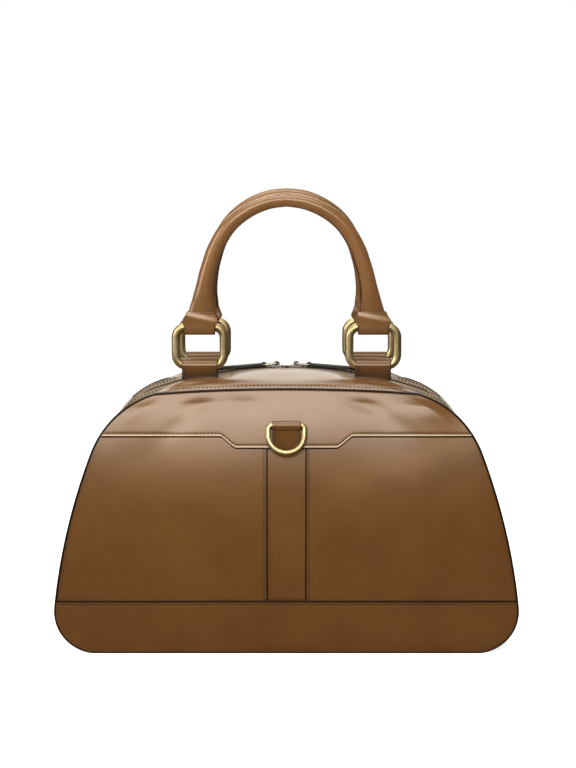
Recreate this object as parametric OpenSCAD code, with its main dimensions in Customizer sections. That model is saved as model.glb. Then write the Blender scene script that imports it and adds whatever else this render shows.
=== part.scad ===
// A domed top-handle bag in smooth calf leather. Its side gussets are canvas. A two-way zip runs
// over the top, and each rolled handle hangs on a pair of metal rings. The origin is on the floor
// under the middle of the base, +Z is up and the front faces -Y.

/* [Body] */
// Width of the body at its widest
body_w = 370; // [340:1:400]
// Depth of the body at its deepest
body_d = 160; // [148:1:176]
// Height of the zip above the floor at the middle
body_h = 223; // [216:1:230]
// Radius of the two lower corners
corner_r = 34; // [26:1:42]
// Radius of the long side curves
side_r = 520; // [440:5:600]
// Lean of the sides where they leave the lower corners, in degrees
side_lean = 6.5; // [5:0.5:8]
// Radius of the shoulders
shoulder_r = 75; // [66:1:84]
// Radius of the arch that the zip follows
crown_r = 345; // [320:1:370]
// Radius of the roof, seen from the side
roof_r = 135; // [125:1:150]
// Radius of the front and rear walls, seen from the side
wall_r = 556; // [520:1:600]
// Height at which the front and rear walls stand upright
wall_upright_z = 50; // [44:1:56]
// How far the front panel's top edge lies below the zip, at the middle
edge_drop = 12.4; // [11:0.1:15]
// Radius of the front panel's arched top edge
edge_r = 1450; // [1200:10:2000]

/* [Leather layers] */
// Thickness of one leather layer
leather_t = 1.2; // [1:0.1:1.4]
// Thickness of the stiff backing behind the front and rear leather
backing_t = 2.4; // [2.2:0.1:3]
// Thickness of the gussets and the base
gusset_t = 1.6; // [1.4:0.1:2]
// Thickness of the roof panels
roof_t = 1.6; // [1.4:0.1:2]
// Thickness of the lining
lining_t = 0.8; // [0.6:0.1:1]
// Width of the painted edge that frames the front and the rear
piping_w = 3; // [2:0.1:4]
// How far the painted edge stands proud
piping_proud = 0.8; // [0.5:0.1:1.2]
// Height of the base band
band_h = 43.5; // [36:0.5:52]
// Width of the centre strip between the two front panels
strip_w = 30; // [24:1:40]
// How far each front panel laps over the strip
strip_lap = 4; // [3:0.5:6]
// How far the yoke's edge lies below the zip, out to the sides
yoke_side_drop = 50; // [45:0.5:54]
// How far the yoke's edge lies below the zip, in the middle
yoke_mid_drop = 59; // [56:0.5:63]
// Half the width of the yoke's lower middle part
yoke_mid_half = 41; // [36:1:46]
// Half the width of the yoke's middle part at the top of its slants
yoke_slant_half = 52; // [48:1:58]
// Distance along the bag from an end of the mouth to the body's widest point
mouth_inset = 67; // [61:1:73]
// How far the lining's top edge lies below the zip
lining_drop = 29; // [27:1:38]

/* [Base board] */
// Distance along the bag from an end of the board to the body's widest point
board_inset_x = 42; // [37:1:55]
// Distance across the bag from a side of the board to the body's deepest point
board_inset_y = 11; // [9.5:0.5:15]
// Thickness of the board
board_t = 2; // [1.5:0.1:3]
// Radius of the board's corners
board_r = 12; // [8:1:20]

/* [Handles and rings] */
// Distance along the bag from an end of the mouth to a ring's middle
ring_inset = 47.5; // [42:0.5:52]
// Distance from the zip to the rings
ring_y = 30; // [27:0.5:34]
// Outer width of a ring
ring_w = 46; // [44:0.5:50]
// Outer height of a ring
ring_h = 39; // [37:0.5:43]
// Thickness of a ring's wire
ring_wire = 7; // [6:0.5:8]
// Radius of a ring's corners at the middle of its wire
ring_corner_r = 5; // [4.5:0.1:6]
// Height of a ring's lower bar above the zip
ring_bar_rise = 3.5; // [3:0.5:7]
// Thickness of the leather that is folded round a ring
fold_t = 2.2; // [1.8:0.1:2.6]
// Gap between a ring and the leather that is folded round it
ring_gap = 0.3; // [0.2:0.05:0.5]
// Height of the seam where the rolled part of a handle starts, above a ring's lower bar
seam_rise = 44.5; // [42.5:0.5:49]
// Height of the top of the front handle's middle line above the zip
handle_top_rise = 137.3; // [127:0.1:152]
// How much higher the rear handle reaches than the front one
rear_handle_lift = 5.8; // [0:0.1:8]
// Half the width of a handle at its flat end
handle_end_half = 12; // [11:0.2:14]
// Half the thickness of a handle at its flat end
handle_flat_half = 3.9; // [3.5:0.1:4]
// Radius of the rolled part, seen from the front, down the legs
handle_leg_r = 6.6; // [6:0.1:7.5]
// Radius of the rolled part at the top of the arch
handle_roll_r = 5; // [4.6:0.1:6.5]
// Thickness of a handle's leather sleeve
sleeve_t = 1.3; // [1:0.1:1.6]

/* [Zip] */
// Distance between neighbouring teeth of one row
tooth_pitch = 3.2; // [2.8:0.1:4]
// Thickness of a tooth, along the zip
tooth_t = 1.25; // [1:0.05:1.3]
// Height of a tooth
tooth_h = 2.2; // [1.8:0.1:2.4]
// How far a tooth reaches past the middle of the zip
tooth_reach = 0.5; // [0.3:0.05:0.6]
// Half the distance between the two tapes
tape_half_gap = 2.6; // [2.4:0.1:3]
// Width of one zip tape
tape_w = 15; // [12:0.5:18]
// Thickness of the zip tape
tape_t = 0.6; // [0.5:0.05:0.7]
// Half the slot between the two roof panels
slot_half = 5.6; // [5.4:0.1:6.5]
// Length of a slider
slider_l = 11; // [10:0.5:13]
// Width of a slider
slider_w = 8.6; // [8:0.1:9.4]
// Distance from the middle of the bag to the middle of a slider
slider_x = 8; // [7.5:0.25:10]
// Thickness of a slider's plates
slider_plate_t = 1.3; // [1:0.1:1.5]
// Length of a pull's wire link
link_l = 11; // [9:0.5:13]
// Thickness of a pull's wire link
link_wire = 1.7; // [1.4:0.1:2]
// Length of a pull's leather tab
pull_l = 40; // [30:1:45]
// Width of a pull's leather tab
pull_w = 9; // [7:0.5:10]
// Thickness of a pull's leather tab
pull_t = 2.4; // [2:0.1:3]

/* [Front ring] */
// Outer width of the D-ring
dring_w = 33; // [31:0.5:36]
// Thickness of the D-ring's wire
dring_wire = 4.4; // [4:0.1:5]
// How far the D-ring's straight bar lies below the zip
dring_bar_drop = 40.3; // [39:0.1:43]
// Distance from the D-ring's bar down to the middle of its round part
dring_drop = 7.6; // [6:0.1:9]
// Radius of the D-ring's two upper corners at the middle of its wire
dring_corner_r = 3; // [2.6:0.1:3.2]
// How far the D-ring stands off the wall where it hangs, in degrees
dring_lift = 4; // [3.5:0.5:8]
// Thickness of the leather that is folded round the D-ring
dring_fold_t = 1.4; // [1.2:0.1:1.8]

/* [Hidden] */
$fn = 96;

calf = "#9c6b3a";
calf_dark = "#3a2416";
canvas = "#b9b3a6";
brass = "#a98d4f";
steel = "#6f6c68";
zip_cloth = "#2c2623";
lining_cloth = "#8d7a63";

// Overrun of every cut, so that no cut ends on a face
cut = 1;
// Sizes of a block that holds the whole bag
reach_x = 2 * body_w;
reach_y = 2 * body_d;
reach_z = 2 * body_h;

// Steps along each stretch of the outline
corner_steps = 10;
side_steps = 8;
shoulder_steps = 10;
crown_steps = 10;
wall_steps = 20;
edge_steps = 24;

// Heights and places that follow from the body's size
edge_h = body_h - edge_drop;
yoke_side_z = body_h - yoke_side_drop;
yoke_mid_z = body_h - yoke_mid_drop;
lining_h = body_h - lining_drop;
roof_low = body_h / 2;
mouth_half = body_w / 2 - mouth_inset;
board_l = body_w - 2 * board_inset_x;
board_w = body_d - 2 * board_inset_y;
ring_x = mouth_half - ring_inset;
ring_bar_z = body_h + ring_bar_rise;
seam_z = ring_bar_z + seam_rise;
handle_top_z = body_h + handle_top_rise;
dring_bar_z = body_h - dring_bar_drop;

// Centres of the outline's arcs, each tangent to the next one
corner_c = [body_w / 2 - corner_r, corner_r];
side_c = corner_c + (corner_r - side_r) * [cos(side_lean), sin(side_lean)];
crown_c = [0, body_h - crown_r];
shoulder_c = circles_meet(side_c, side_r - shoulder_r, crown_c, crown_r - shoulder_r);
edge_half = body_w / 2 + cut;
edge_angle = asin(edge_half / edge_r);
side_end = angle_of(shoulder_c - side_c);
shoulder_end = angle_of(shoulder_c - crown_c);

// Levels of the front and rear layers, counted outwards from the backing's outer face
skin_out = 2 * leather_t;
piping_in = piping_w - piping_proud;

// Centre of the front wall's arc in the side view, and the radius at level zero
wall_c = [wall_r - body_d / 2, wall_upright_z];
wall_zero_r = wall_r - skin_out;
wall_low = asin((wall_upright_z + cut) / wall_zero_r);
wall_high = asin((body_h + cut - wall_upright_z) / wall_zero_r);

// The roof and its slot
flap_gap = 0.4;
tape_top = -roof_t;
tape_mid = tape_top - tape_t / 2;
tooth_r = crown_r + tape_mid;
tooth_from = slider_x + slider_l / 2;
tooth_to = mouth_half - tape_half_gap;
tooth_count = floor((tooth_to - tooth_from) / tooth_pitch);
front_shift_share = 0.25;
rear_shift_share = 0.75;
tooth_neck_share = 0.62;
tooth_head_share = 0.45;
bead_w = 0.6;
bead_h = 1.6;

// The folded leather round the rings
ring_r = ring_wire / 2;
ring_bore_r = ring_r + ring_gap;
fold_r = ring_bore_r + fold_t;
ring_half = ring_w / 2 - ring_r;
ring_straight = ring_half - ring_corner_r;
fold_side_gap = 0.1;
fold_w = 2 * (ring_straight - fold_side_gap);
ring_rise = ring_h - ring_wire;
handle_bar_z = ring_bar_z + ring_rise;

// The rolled handles: the middle line of one half, from the flat end to the top, in shares of
// the distance to the ring and of the rise
handle_end_z = handle_bar_z + fold_r + ring_gap;
handle_line_shares = [
    [0.985, 0], [0.968, 0.09], [0.955, 0.19], [0.933, 0.29], [0.909, 0.385], [0.871, 0.485],
    [0.820, 0.59], [0.715, 0.73], [0.590, 0.835], [0.411, 0.925], [0.205, 0.982], [0, 1],
];
// How flat the handle is at those points, from 1 at the flat end to 0 where it is fully rolled
handle_flat_shares = [1, 0.97, 0.6, 0.26, 0.08, 0.02, 0, 0, 0, 0, 0, 0];
handle_steps = 3;
core_from_point = 3;
handle_sides = 12;
core_sides = 10;
core_gap = 0.3;
core_from = core_from_point * handle_steps;

// The D-ring's own values
dring_r = dring_wire / 2;
dring_half = dring_w / 2 - dring_r;
dring_bore_r = dring_r + ring_gap;
dring_fold_r = dring_bore_r + dring_fold_t;
dring_straight = dring_half - dring_corner_r;
dring_fold_w = 2 * (dring_straight - fold_side_gap);
dring_bar_y = wall_y(dring_bar_z, skin_out) - dring_fold_r;
dring_lean = asin((dring_bar_z - dring_drop - wall_upright_z) / wall_r);
dring_strap_t = 2 * leather_t;

// The sliders and their pulls, at levels above the roof panels
slider_top = -0.4;
slider_lip = 0.8;
slider_lip_t = 0.9;
slider_channel = 3;
slider_post_l = 2.6;
slider_post_w = 1.8;
bridge_l = 5;
bridge_w = 3;
bridge_r = 2.3;
link_gap = 0.25;
link_lift = 0.6;
link_half = 3.4;
link_bend = 1.1;
link_z = slider_top + slider_plate_t + link_wire / 2 + link_lift;
link_out = 1.6;
slider_angle = asin(slider_x / crown_r);
pull_droop = 3.5;

function angle_of(v) = atan2(v[1], v[0]);

// The upper crossing of two circles
function circles_meet(c1, r1, c2, r2) =
    let (d = norm(c2 - c1))
    let (a = (r1 * r1 - r2 * r2 + d * d) / (2 * d))
    let (h = sqrt(r1 * r1 - a * a))
    let (u = (c2 - c1) / d)
    c1 + a * u + h * [-u[1], u[0]];

// Points on an arc, without its first point
function arc(c, r, from, to, steps) =
    [for (i = [1:steps]) let (a = from + (to - from) * i / steps) c + r * [cos(a), sin(a)]];

function half_outline(level) = concat(
    [[corner_c[0], corner_c[1] - corner_r - level]],
    arc(corner_c, corner_r + level, -90, side_lean, corner_steps),
    arc(side_c, side_r + level, side_lean, side_end, side_steps),
    arc(shoulder_c, shoulder_r + level, side_end, shoulder_end, shoulder_steps),
    arc(crown_c, crown_r + level, shoulder_end, 90, crown_steps));

// The dome seen from the front, grown by level and never below the floor
function outline(level) =
    let (half = half_outline(level), last = len(half) - 1)
    concat(
        [for (p = half) [p[0], max(p[1], 0)]],
        [for (i = [last - 1:-1:0]) [-half[i][0], max(half[i][1], 0)]]);

// A wall's arc in the side view at a level, as distances from the middle and heights
function wall_arc(level) =
    [for (i = [0:wall_steps])
        let (a = -wall_low + (wall_low + wall_high) * i / wall_steps)
        [wall_c[0] - (wall_zero_r + level) * cos(a), wall_c[1] + (wall_zero_r + level) * sin(a)]];

function reversed(list) = [for (i = [len(list) - 1:-1:0]) list[i]];

// The front wall's place at a height and level
function wall_y(z, level) =
    wall_c[0] - sqrt(pow(wall_zero_r + level, 2) - pow(z - wall_c[1], 2));

// A smooth line through points, with steps between each two
function smooth(points, steps) =
    let (last = len(points) - 1)
    concat(
        [for (i = [0:last - 1], k = [0:steps - 1])
            let (t = k / steps)
            let (a = points[max(i - 1, 0)], b = points[i])
            let (c = points[i + 1], d = points[min(i + 2, last)])
            (2 * b + (c - a) * t + (2 * a - 5 * b + 4 * c - d) * t * t
                + (3 * b - a - 3 * c + d) * t * t * t) / 2],
        [points[last]]);

module along_x(length)
    rotate([90, 0, 90])
        translate([0, 0, -length / 2])
            linear_extrude(length)
                children();

module along_y(length)
    rotate([90, 0, 0])
        translate([0, 0, -length / 2])
            linear_extrude(length)
                children();

module bar_x(r, length)
    rotate([0, 90, 0])
        cylinder(r = r, h = length, center = true);

module bar_y(r, length)
    rotate([90, 0, 0])
        cylinder(r = r, h = length, center = true);

module block(low, high)
    translate(low)
        cube(high - low);

module rear()
    mirror([0, 1, 0])
        children();

module left()
    mirror([1, 0, 0])
        children();

module outline_prism(level)
    along_y(reach_y)
        polygon(outline(level));

// The front panel's outline: the dome with its arched top edge
module face_prism(level)
    intersection() {
        outline_prism(level);
        along_y(reach_y + cut)
            polygon(concat(
                [[edge_half, -cut]],
                arc([0, edge_h - edge_r], edge_r + level, 90 - edge_angle, 90 + edge_angle, edge_steps),
                [[-edge_half, -cut]]));
    }

// A layer of the front wall between two levels
module wall_band(low, high)
    along_x(reach_x)
        polygon(concat(wall_arc(high), reversed(wall_arc(low))));

// Everything between the front and the rear wall at a level
module between_walls(level)
    along_x(reach_x)
        polygon(concat(
            wall_arc(level),
            [for (p = reversed(wall_arc(level))) [-p[0], p[1]]]));

module front_layer(low, high)
    intersection() {
        wall_band(low, high);
        face_prism(-piping_in);
        children();
    }

module roof_solid(level)
    intersection() {
        outline_prism(level);
        translate([0, 0, body_h - roof_r])
            bar_x(roof_r + level, reach_x);
    }

module backing()
    difference() {
        front_layer(-backing_t, 0)
            block([-body_w, -body_d, -cut], [body_w, 0, reach_z]);
        children();
    }

module strip_region(half)
    block([-half, -body_d, -cut], [half, 0, reach_z]);

module band_region()
    block([-body_w, -body_d, -cut], [body_w, 0, band_h]);

module front_backing() {
    strip_half = strip_w / 2 + strip_lap;
    color(calf_dark)
        backing()
            intersection() {
                wall_band(-leather_t, cut);
                strip_region(strip_half);
            }
}

module front_centre_strip() {
    color(calf)
        front_layer(-leather_t, 0)
            strip_region(strip_w / 2 + strip_lap);
}

module front_panel_right() {
    color(calf)
        front_layer(0, leather_t)
            block([strip_w / 2, -body_d, -cut], [body_w, 0, reach_z]);
}

module front_panel_left() {
    left()
        front_panel_right();
}

module front_yoke() {
    half_edge = [
        [yoke_mid_half, yoke_mid_z], [yoke_slant_half, yoke_side_z],
        [body_w, yoke_side_z], [body_w, reach_z],
    ];
    color(calf)
        front_layer(leather_t, skin_out)
            along_y(reach_y)
                polygon(concat(half_edge, [for (p = reversed(half_edge)) [-p[0], p[1]]]));
}

module front_base_band() {
    color(calf)
        front_layer(leather_t, skin_out)
            band_region();
}

module front_piping() {
    color(calf_dark)
        intersection() {
            wall_band(-backing_t, skin_out + piping_proud);
            difference() {
                face_prism(piping_proud);
                face_prism(-piping_in);
            }
        }
}

module rear_backing() {
    color(calf_dark)
        rear()
            front_layer(-backing_t, 0)
                block([-body_w, -body_d, -cut], [body_w, 0, reach_z]);
}

module rear_panel() {
    color(calf)
        rear()
            front_layer(0, leather_t)
                block([-body_w, -body_d, -cut], [body_w, 0, reach_z]);
}

module rear_yoke() {
    color(calf)
        rear()
            front_layer(leather_t, skin_out)
                block([-body_w, -body_d, yoke_side_z], [body_w, 0, reach_z]);
}

module rear_base_band() {
    rear()
        front_base_band();
}

module rear_piping() {
    rear()
        front_piping();
}

module gusset_shell()
    intersection() {
        difference() {
            outline_prism(0);
            outline_prism(-gusset_t);
        }
        between_walls(-backing_t);
        children();
    }

module gusset_right() {
    color(canvas)
        gusset_shell()
            block([mouth_half, -body_d, band_h], [body_w, body_d, reach_z]);
}

module gusset_left() {
    left()
        gusset_right();
}

module base_panel() {
    color(calf)
        gusset_shell()
            block([-body_w, -body_d, -cut], [body_w, body_d, band_h]);
}

module base_board() {
    x = board_l / 2 - board_r;
    y = board_w / 2 - board_r;
    color(calf_dark)
        translate([0, 0, gusset_t + lining_t]) {
            for (sx = [-1, 1], sy = [-1, 1])
                translate([sx * x, sy * y, 0])
                    cylinder(r = board_r, h = board_t);
            block([-x, -board_w / 2, 0], [x, board_w / 2, board_t]);
            block([-board_l / 2, -y, 0], [board_l / 2, y, board_t]);
        }
}

module lining() {
    color(lining_cloth)
        difference() {
            intersection() {
                outline_prism(-gusset_t);
                between_walls(-backing_t);
                block([-body_w, -body_d, 0], [body_w, body_d, lining_h]);
            }
            intersection() {
                outline_prism(-gusset_t - lining_t);
                between_walls(-backing_t - lining_t);
            }
        }
}

// The roof from the front panel's edge to the zip, with its front edge turned down to the seam
module roof_panel_front() {
    half = mouth_half - flap_gap;
    front_level = -backing_t - flap_gap;
    color(calf)
        difference() {
            intersection() {
                roof_solid(0);
                between_walls(front_level);
                block([-half, -body_d, roof_low], [half, -slot_half, reach_z]);
            }
            intersection() {
                roof_solid(-roof_t);
                between_walls(front_level - roof_t);
            }
            face_prism(-piping_in);
        }
}

module roof_panel_rear() {
    rear()
        roof_panel_front();
}

module zip_tape_front() {
    half = mouth_half - 2 * flap_gap;
    color(zip_cloth)
        intersection() {
            difference() {
                roof_solid(tape_top);
                roof_solid(tape_top - tape_t);
            }
            block([-half, -tape_half_gap - tape_w, roof_low],
                [half, -tape_half_gap, reach_z]);
        }
}

module zip_tape_rear() {
    rear()
        zip_tape_front();
}

// One tooth: a root on the tape's edge, a neck and a wider head
module tooth() {
    neck = tooth_t * tooth_neck_share / 2;
    head_y = -tape_half_gap * tooth_head_share;
    translate([0, 0, tooth_r - tooth_h / 2])
        linear_extrude(tooth_h)
            polygon([
                [-tooth_t / 2, -tape_half_gap], [tooth_t / 2, -tape_half_gap],
                [neck, head_y], [tooth_t / 2, 0], [neck, tooth_reach],
                [-neck, tooth_reach], [-tooth_t / 2, 0], [-neck, head_y],
            ]);
}

module bead(half_angle)
    rotate([90, 0, 0])
        rotate([0, 0, 90 - half_angle])
            rotate_extrude(angle = 2 * half_angle)
                translate([tooth_r - bead_h / 2, tape_half_gap - bead_w])
                    square([bead_h, bead_w]);

// A row of teeth on its bead, which follows the arch of the zip
module tooth_row(shift_share) {
    color(steel)
        translate([0, 0, crown_c[1]]) {
            bead(asin(tooth_to / tooth_r));
            for (side = [-1, 1], i = [0:tooth_count - 1])
                rotate([0, side * asin((tooth_from + (i + shift_share) * tooth_pitch) / tooth_r), 0])
                    tooth();
        }
}

module zip_teeth_front() {
    tooth_row(front_shift_share);
}

module zip_teeth_rear() {
    rear()
        tooth_row(rear_shift_share);
}

// The leather that holds a ring's lower bar, sewn onto the roof panel
module handle_base() {
    color(calf)
        difference() {
            translate([ring_x, -ring_y, ring_bar_z]) {
                difference() {
                    union() {
                        bar_x(fold_r, fold_w);
                        block([-fold_w / 2, -fold_r, roof_low - ring_bar_z], [fold_w / 2, fold_r, 0]);
                    }
                    bar_x(ring_bore_r, fold_w + cut);
                }
            }
            roof_solid(0);
        }
}

module handle_base_front_right() {
    handle_base();
}

module handle_base_front_left() {
    left()
        handle_base();
}

module handle_base_rear_right() {
    rear()
        handle_base();
}

module handle_base_rear_left() {
    left()
        handle_base_rear_right();
}

module quarter_bend(r, bend)
    rotate([90, 0, 0])
        rotate_extrude(angle = 90)
            translate([bend, 0])
                circle(r = r);

// A frame of round wire with bent corners, standing in the front view with its middle at the origin
module wire_frame(r, half_w, half_h, bend) {
    for (side = [-1, 1]) {
        translate([0, 0, side * half_h])
            bar_x(r, 2 * (half_w - bend));
        translate([side * half_w, 0, bend - half_h])
            cylinder(r = r, h = 2 * (half_h - bend));
    }
    for (corner = [[1, 1, 0], [-1, 1, -90], [-1, -1, -180], [1, -1, -270]])
        translate([corner[0] * (half_w - bend), 0, corner[1] * (half_h - bend)])
            rotate([0, corner[2], 0])
                quarter_bend(r, bend);
}

// A ring of round wire, standing on its lower bar
module ring() {
    color(brass)
        translate([ring_x, -ring_y, ring_bar_z + ring_rise / 2])
            wire_frame(ring_r, ring_half, ring_rise / 2, ring_corner_r);
}

module ring_front_right() {
    ring();
}

module ring_front_left() {
    left()
        ring();
}

module ring_rear_right() {
    rear()
        ring();
}

module ring_rear_left() {
    left()
        ring_rear_right();
}

// The leather folded round a ring's upper bar, with a tongue up each side of the handle
module handle_tab() {
    tongue = [
        [-fold_w / 2, 0], [fold_w / 2, 0],
        [handle_end_half, seam_z - handle_bar_z], [-handle_end_half, seam_z - handle_bar_z],
    ];
    tongue_t = fold_r - handle_flat_half - core_gap;
    color(calf)
        translate([ring_x, -ring_y, handle_bar_z])
            difference() {
                union() {
                    bar_x(fold_r, fold_w);
                    for (side = [-1, 1])
                        translate([0, side * (fold_r - tongue_t / 2), 0])
                            along_y(tongue_t)
                                polygon(tongue);
                }
                bar_x(ring_bore_r, fold_w + cut);
            }
}

module handle_tab_front_right() {
    handle_tab();
}

module handle_tab_front_left() {
    left()
        handle_tab();
}

module handle_tab_rear_right() {
    rear()
        handle_tab();
}

module handle_tab_rear_left() {
    left()
        handle_tab_rear_right();
}

// A handle's middle line in the front view, from one flat end over the top to the other
function handle_line(top_z) =
    let (rise = top_z - handle_end_z)
    let (half = smooth(
        [for (p = handle_line_shares) [p[0] * ring_x, handle_end_z + p[1] * rise]], handle_steps))
    concat(half, [for (i = [len(half) - 2:-1:0]) [-half[i][0], half[i][1]]]);

handle_half_flat = smooth(handle_flat_shares, handle_steps);
handle_flat = concat(
    handle_half_flat, [for (i = [len(handle_half_flat) - 2:-1:0]) handle_half_flat[i]]);
handle_last = len(handle_flat) - 1;

function mix(a, b, t) = a + (b - a) * t;

// The direction across the handle at a point of its middle line, level at its two ends
function across(line, i) =
    let (t = line[min(i + 1, handle_last)] - line[max(i - 1, 0)])
    i == 0 ? [1, 0] : i == handle_last ? [-1, 0] : [t[1], -t[0]] / norm(t);

// One section of the handle, drawn in by a wall's thickness and thinner towards the top
function section(line, i, inset, sides) =
    let (f = min(max(handle_flat[i], 0), 1))
    let (roll_r = mix(handle_roll_r, handle_leg_r, abs(line[i][0]) / ring_x))
    let (w = mix(roll_r, handle_end_half, f) - inset)
    let (d = mix(handle_roll_r, handle_flat_half, f) - inset)
    let (c = line[i], n = across(line, i))
    [for (k = [0:sides - 1])
        let (a = 360 * (k + 0.5) / sides)
        [c[0] + n[0] * w * cos(a), d * sin(a) - ring_y, c[1] + n[1] * w * cos(a)]];

// The side faces between rings of points, from the ring that starts at first
function skin(first, rings, sides, inwards) =
    [for (i = [0:rings - 2], k = [0:sides - 1])
        let (a = first + i * sides + k)
        let (b = first + i * sides + (k + 1) % sides)
        inwards ? [a, a + sides, b + sides, b] : [a, b, b + sides, a + sides]];

module handle_sleeve(top_z) {
    line = handle_line(top_z);
    rings = handle_last + 1;
    n = handle_sides;
    count = rings * n;
    outer = [for (i = [0:handle_last]) each section(line, i, 0, n)];
    inner = [for (i = [0:handle_last]) each section(line, i, sleeve_t, n)];
    start = [for (k = [0:n - 1]) [k, count + k, count + (k + 1) % n, (k + 1) % n]];
    end = [for (f = start) [f[3], f[2], f[1], f[0]] + (count - n) * [1, 1, 1, 1]];
    color(calf)
        polyhedron(
            concat(outer, inner),
            concat(skin(0, rings, n, false), skin(count, rings, n, true), start, end));
}

module handle_core(top_z) {
    line = handle_line(top_z);
    rings = handle_last + 1 - 2 * core_from;
    n = core_sides;
    points = [
        for (i = [core_from:handle_last - core_from]) each section(line, i, sleeve_t + core_gap, n)];
    color(zip_cloth)
        polyhedron(
            points,
            concat(
                skin(0, rings, n, false),
                [[for (k = [n - 1:-1:0]) k], [for (k = [0:n - 1]) (rings - 1) * n + k]]));
}

module handle_front() {
    handle_sleeve(handle_top_z);
}

module handle_core_front() {
    handle_core(handle_top_z);
}

module handle_rear() {
    rear()
        handle_sleeve(handle_top_z + rear_handle_lift);
}

module handle_core_rear() {
    rear()
        handle_core(handle_top_z + rear_handle_lift);
}

// The D-ring in its own plane, hanging from its bar at the origin
module d_ring_shape() {
    bar_x(dring_r, 2 * dring_straight);
    for (side = [-1, 1]) {
        translate([side * dring_half, 0, -dring_drop])
            cylinder(r = dring_r, h = dring_drop - dring_corner_r);
        translate([side * dring_straight, 0, -dring_corner_r])
            rotate([0, side > 0 ? 0 : -90, 0])
                quarter_bend(dring_r, dring_corner_r);
    }
    translate([0, 0, -dring_drop])
        rotate([90, 0, 0])
            rotate([0, 0, 180])
                rotate_extrude(angle = 180)
                    translate([dring_half, 0])
                        circle(r = dring_r);
}

module d_ring() {
    color(brass)
        translate([0, dring_bar_y, dring_bar_z])
            rotate([-dring_lean - dring_lift, 0, 0])
                d_ring_shape();
}

module d_ring_tab() {
    half = dring_fold_w / 2;
    color(calf)
        difference() {
            union() {
                translate([0, dring_bar_y, dring_bar_z])
                    bar_x(dring_fold_r, dring_fold_w);
                intersection() {
                    wall_band(skin_out, skin_out + dring_strap_t);
                    block([-half, -body_d, yoke_mid_z], [half, 0, dring_bar_z]);
                }
            }
            translate([0, dring_bar_y, dring_bar_z])
                bar_x(dring_bore_r, dring_fold_w + cut);
            wall_band(0, skin_out);
        }
}

// Puts a piece that is drawn at the zip's level on the arch, at an angle from the middle
module on_arch(angle)
    translate([0, 0, crown_c[1]])
        rotate([0, angle, 0])
            translate([0, 0, crown_r])
                children();

// A slider: two plates that the teeth run between, joined by a post at the inner end
module slider() {
    low = slider_top - slider_channel;
    half_l = slider_l / 2;
    half_w = slider_w / 2;
    color(steel)
        on_arch(slider_angle) {
            block([-half_l, -half_w, slider_top], [half_l, half_w, slider_top + slider_plate_t]);
            block([-half_l, -half_w, low - slider_plate_t], [half_l, half_w, low]);
            block([-half_l, -slider_post_w / 2, low], [slider_post_l - half_l, slider_post_w / 2, slider_top]);
            for (side = [-1, 1])
                translate([0, side * (half_w - slider_lip_t / 2), 0]) {
                    block([-half_l, -slider_lip_t / 2, slider_top - slider_lip],
                        [half_l, slider_lip_t / 2, slider_top]);
                    block([-half_l, -slider_lip_t / 2, low], [half_l, slider_lip_t / 2, low + slider_lip]);
                }
            difference() {
                translate([0, 0, link_z])
                    intersection() {
                        bar_y(bridge_r, bridge_w);
                        block([-bridge_l / 2, -bridge_w, slider_top - link_z], [bridge_l / 2, bridge_w, bridge_r]);
                    }
                translate([0, 0, link_z])
                    bar_y(link_wire / 2 + link_gap, bridge_w + cut);
            }
        }
}

module zip_slider_right() {
    slider();
}

module zip_slider_left() {
    left()
        slider();
}

// Puts a pull on its bridge, drooping a little so that it lies along the arch
module on_bridge()
    on_arch(slider_angle)
        translate([0, 0, link_z])
            rotate([0, pull_droop, 0])
                children();

module pull_link() {
    color(steel)
        on_bridge()
            translate([link_l / 2, 0, 0])
                rotate([90, 0, 0])
                    wire_frame(link_wire / 2, link_l / 2, link_half, link_bend);
}

module pull_link_right() {
    pull_link();
}

module pull_link_left() {
    left()
        pull_link();
}

module pull_tab() {
    bore = link_wire / 2 + link_gap;
    loop_w = 2 * (link_half - link_bend);
    eye_r = bore + leather_t;
    start = link_l + eye_r;
    tip_r = pull_w / 2;
    color(calf_dark)
        on_bridge()
            difference() {
                union() {
                    translate([link_l, 0, 0])
                        bar_y(eye_r, loop_w);
                    block([link_l, -loop_w / 2, -pull_t / 2], [start + link_out, loop_w / 2, pull_t / 2]);
                    block([start, -pull_w / 2, -pull_t / 2], [link_l + pull_l - tip_r, pull_w / 2, pull_t / 2]);
                    translate([link_l + pull_l - tip_r, 0, -pull_t / 2])
                        cylinder(r = tip_r, h = pull_t);
                }
                translate([link_l, 0, 0])
                    bar_y(bore, loop_w + cut);
            }
}

module pull_tab_right() {
    pull_tab();
}

module pull_tab_left() {
    left()
        pull_tab();
}

front_backing();
front_centre_strip();
front_panel_left();
front_panel_right();
front_yoke();
front_base_band();
front_piping();
rear_backing();
rear_panel();
rear_yoke();
rear_base_band();
rear_piping();
gusset_left();
gusset_right();
base_panel();
base_board();
lining();
d_ring_tab();
d_ring();
roof_panel_front();
zip_tape_front();
zip_teeth_front();
roof_panel_rear();
zip_tape_rear();
zip_teeth_rear();
handle_base_front_left();
handle_base_front_right();
handle_base_rear_left();
handle_base_rear_right();
ring_front_left();
ring_front_right();
ring_rear_left();
ring_rear_right();
handle_front();
handle_core_front();
handle_tab_front_left();
handle_tab_front_right();
handle_rear();
handle_core_rear();
handle_tab_rear_left();
handle_tab_rear_right();
zip_slider_left();
pull_link_left();
pull_tab_left();
zip_slider_right();
pull_link_right();
pull_tab_right();
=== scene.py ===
# %% [markdown]
# # A domed top-handle bag in smooth calf
# A town bag is leather cut flat and sewn into a shape that its stiff walls hold. The frame from
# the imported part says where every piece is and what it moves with. Here each soft piece is made
# again as a finely meshed sheet, sleeve or strap, and each one gets the finish of its material.

# %% Load the frame
import functools
import math

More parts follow.
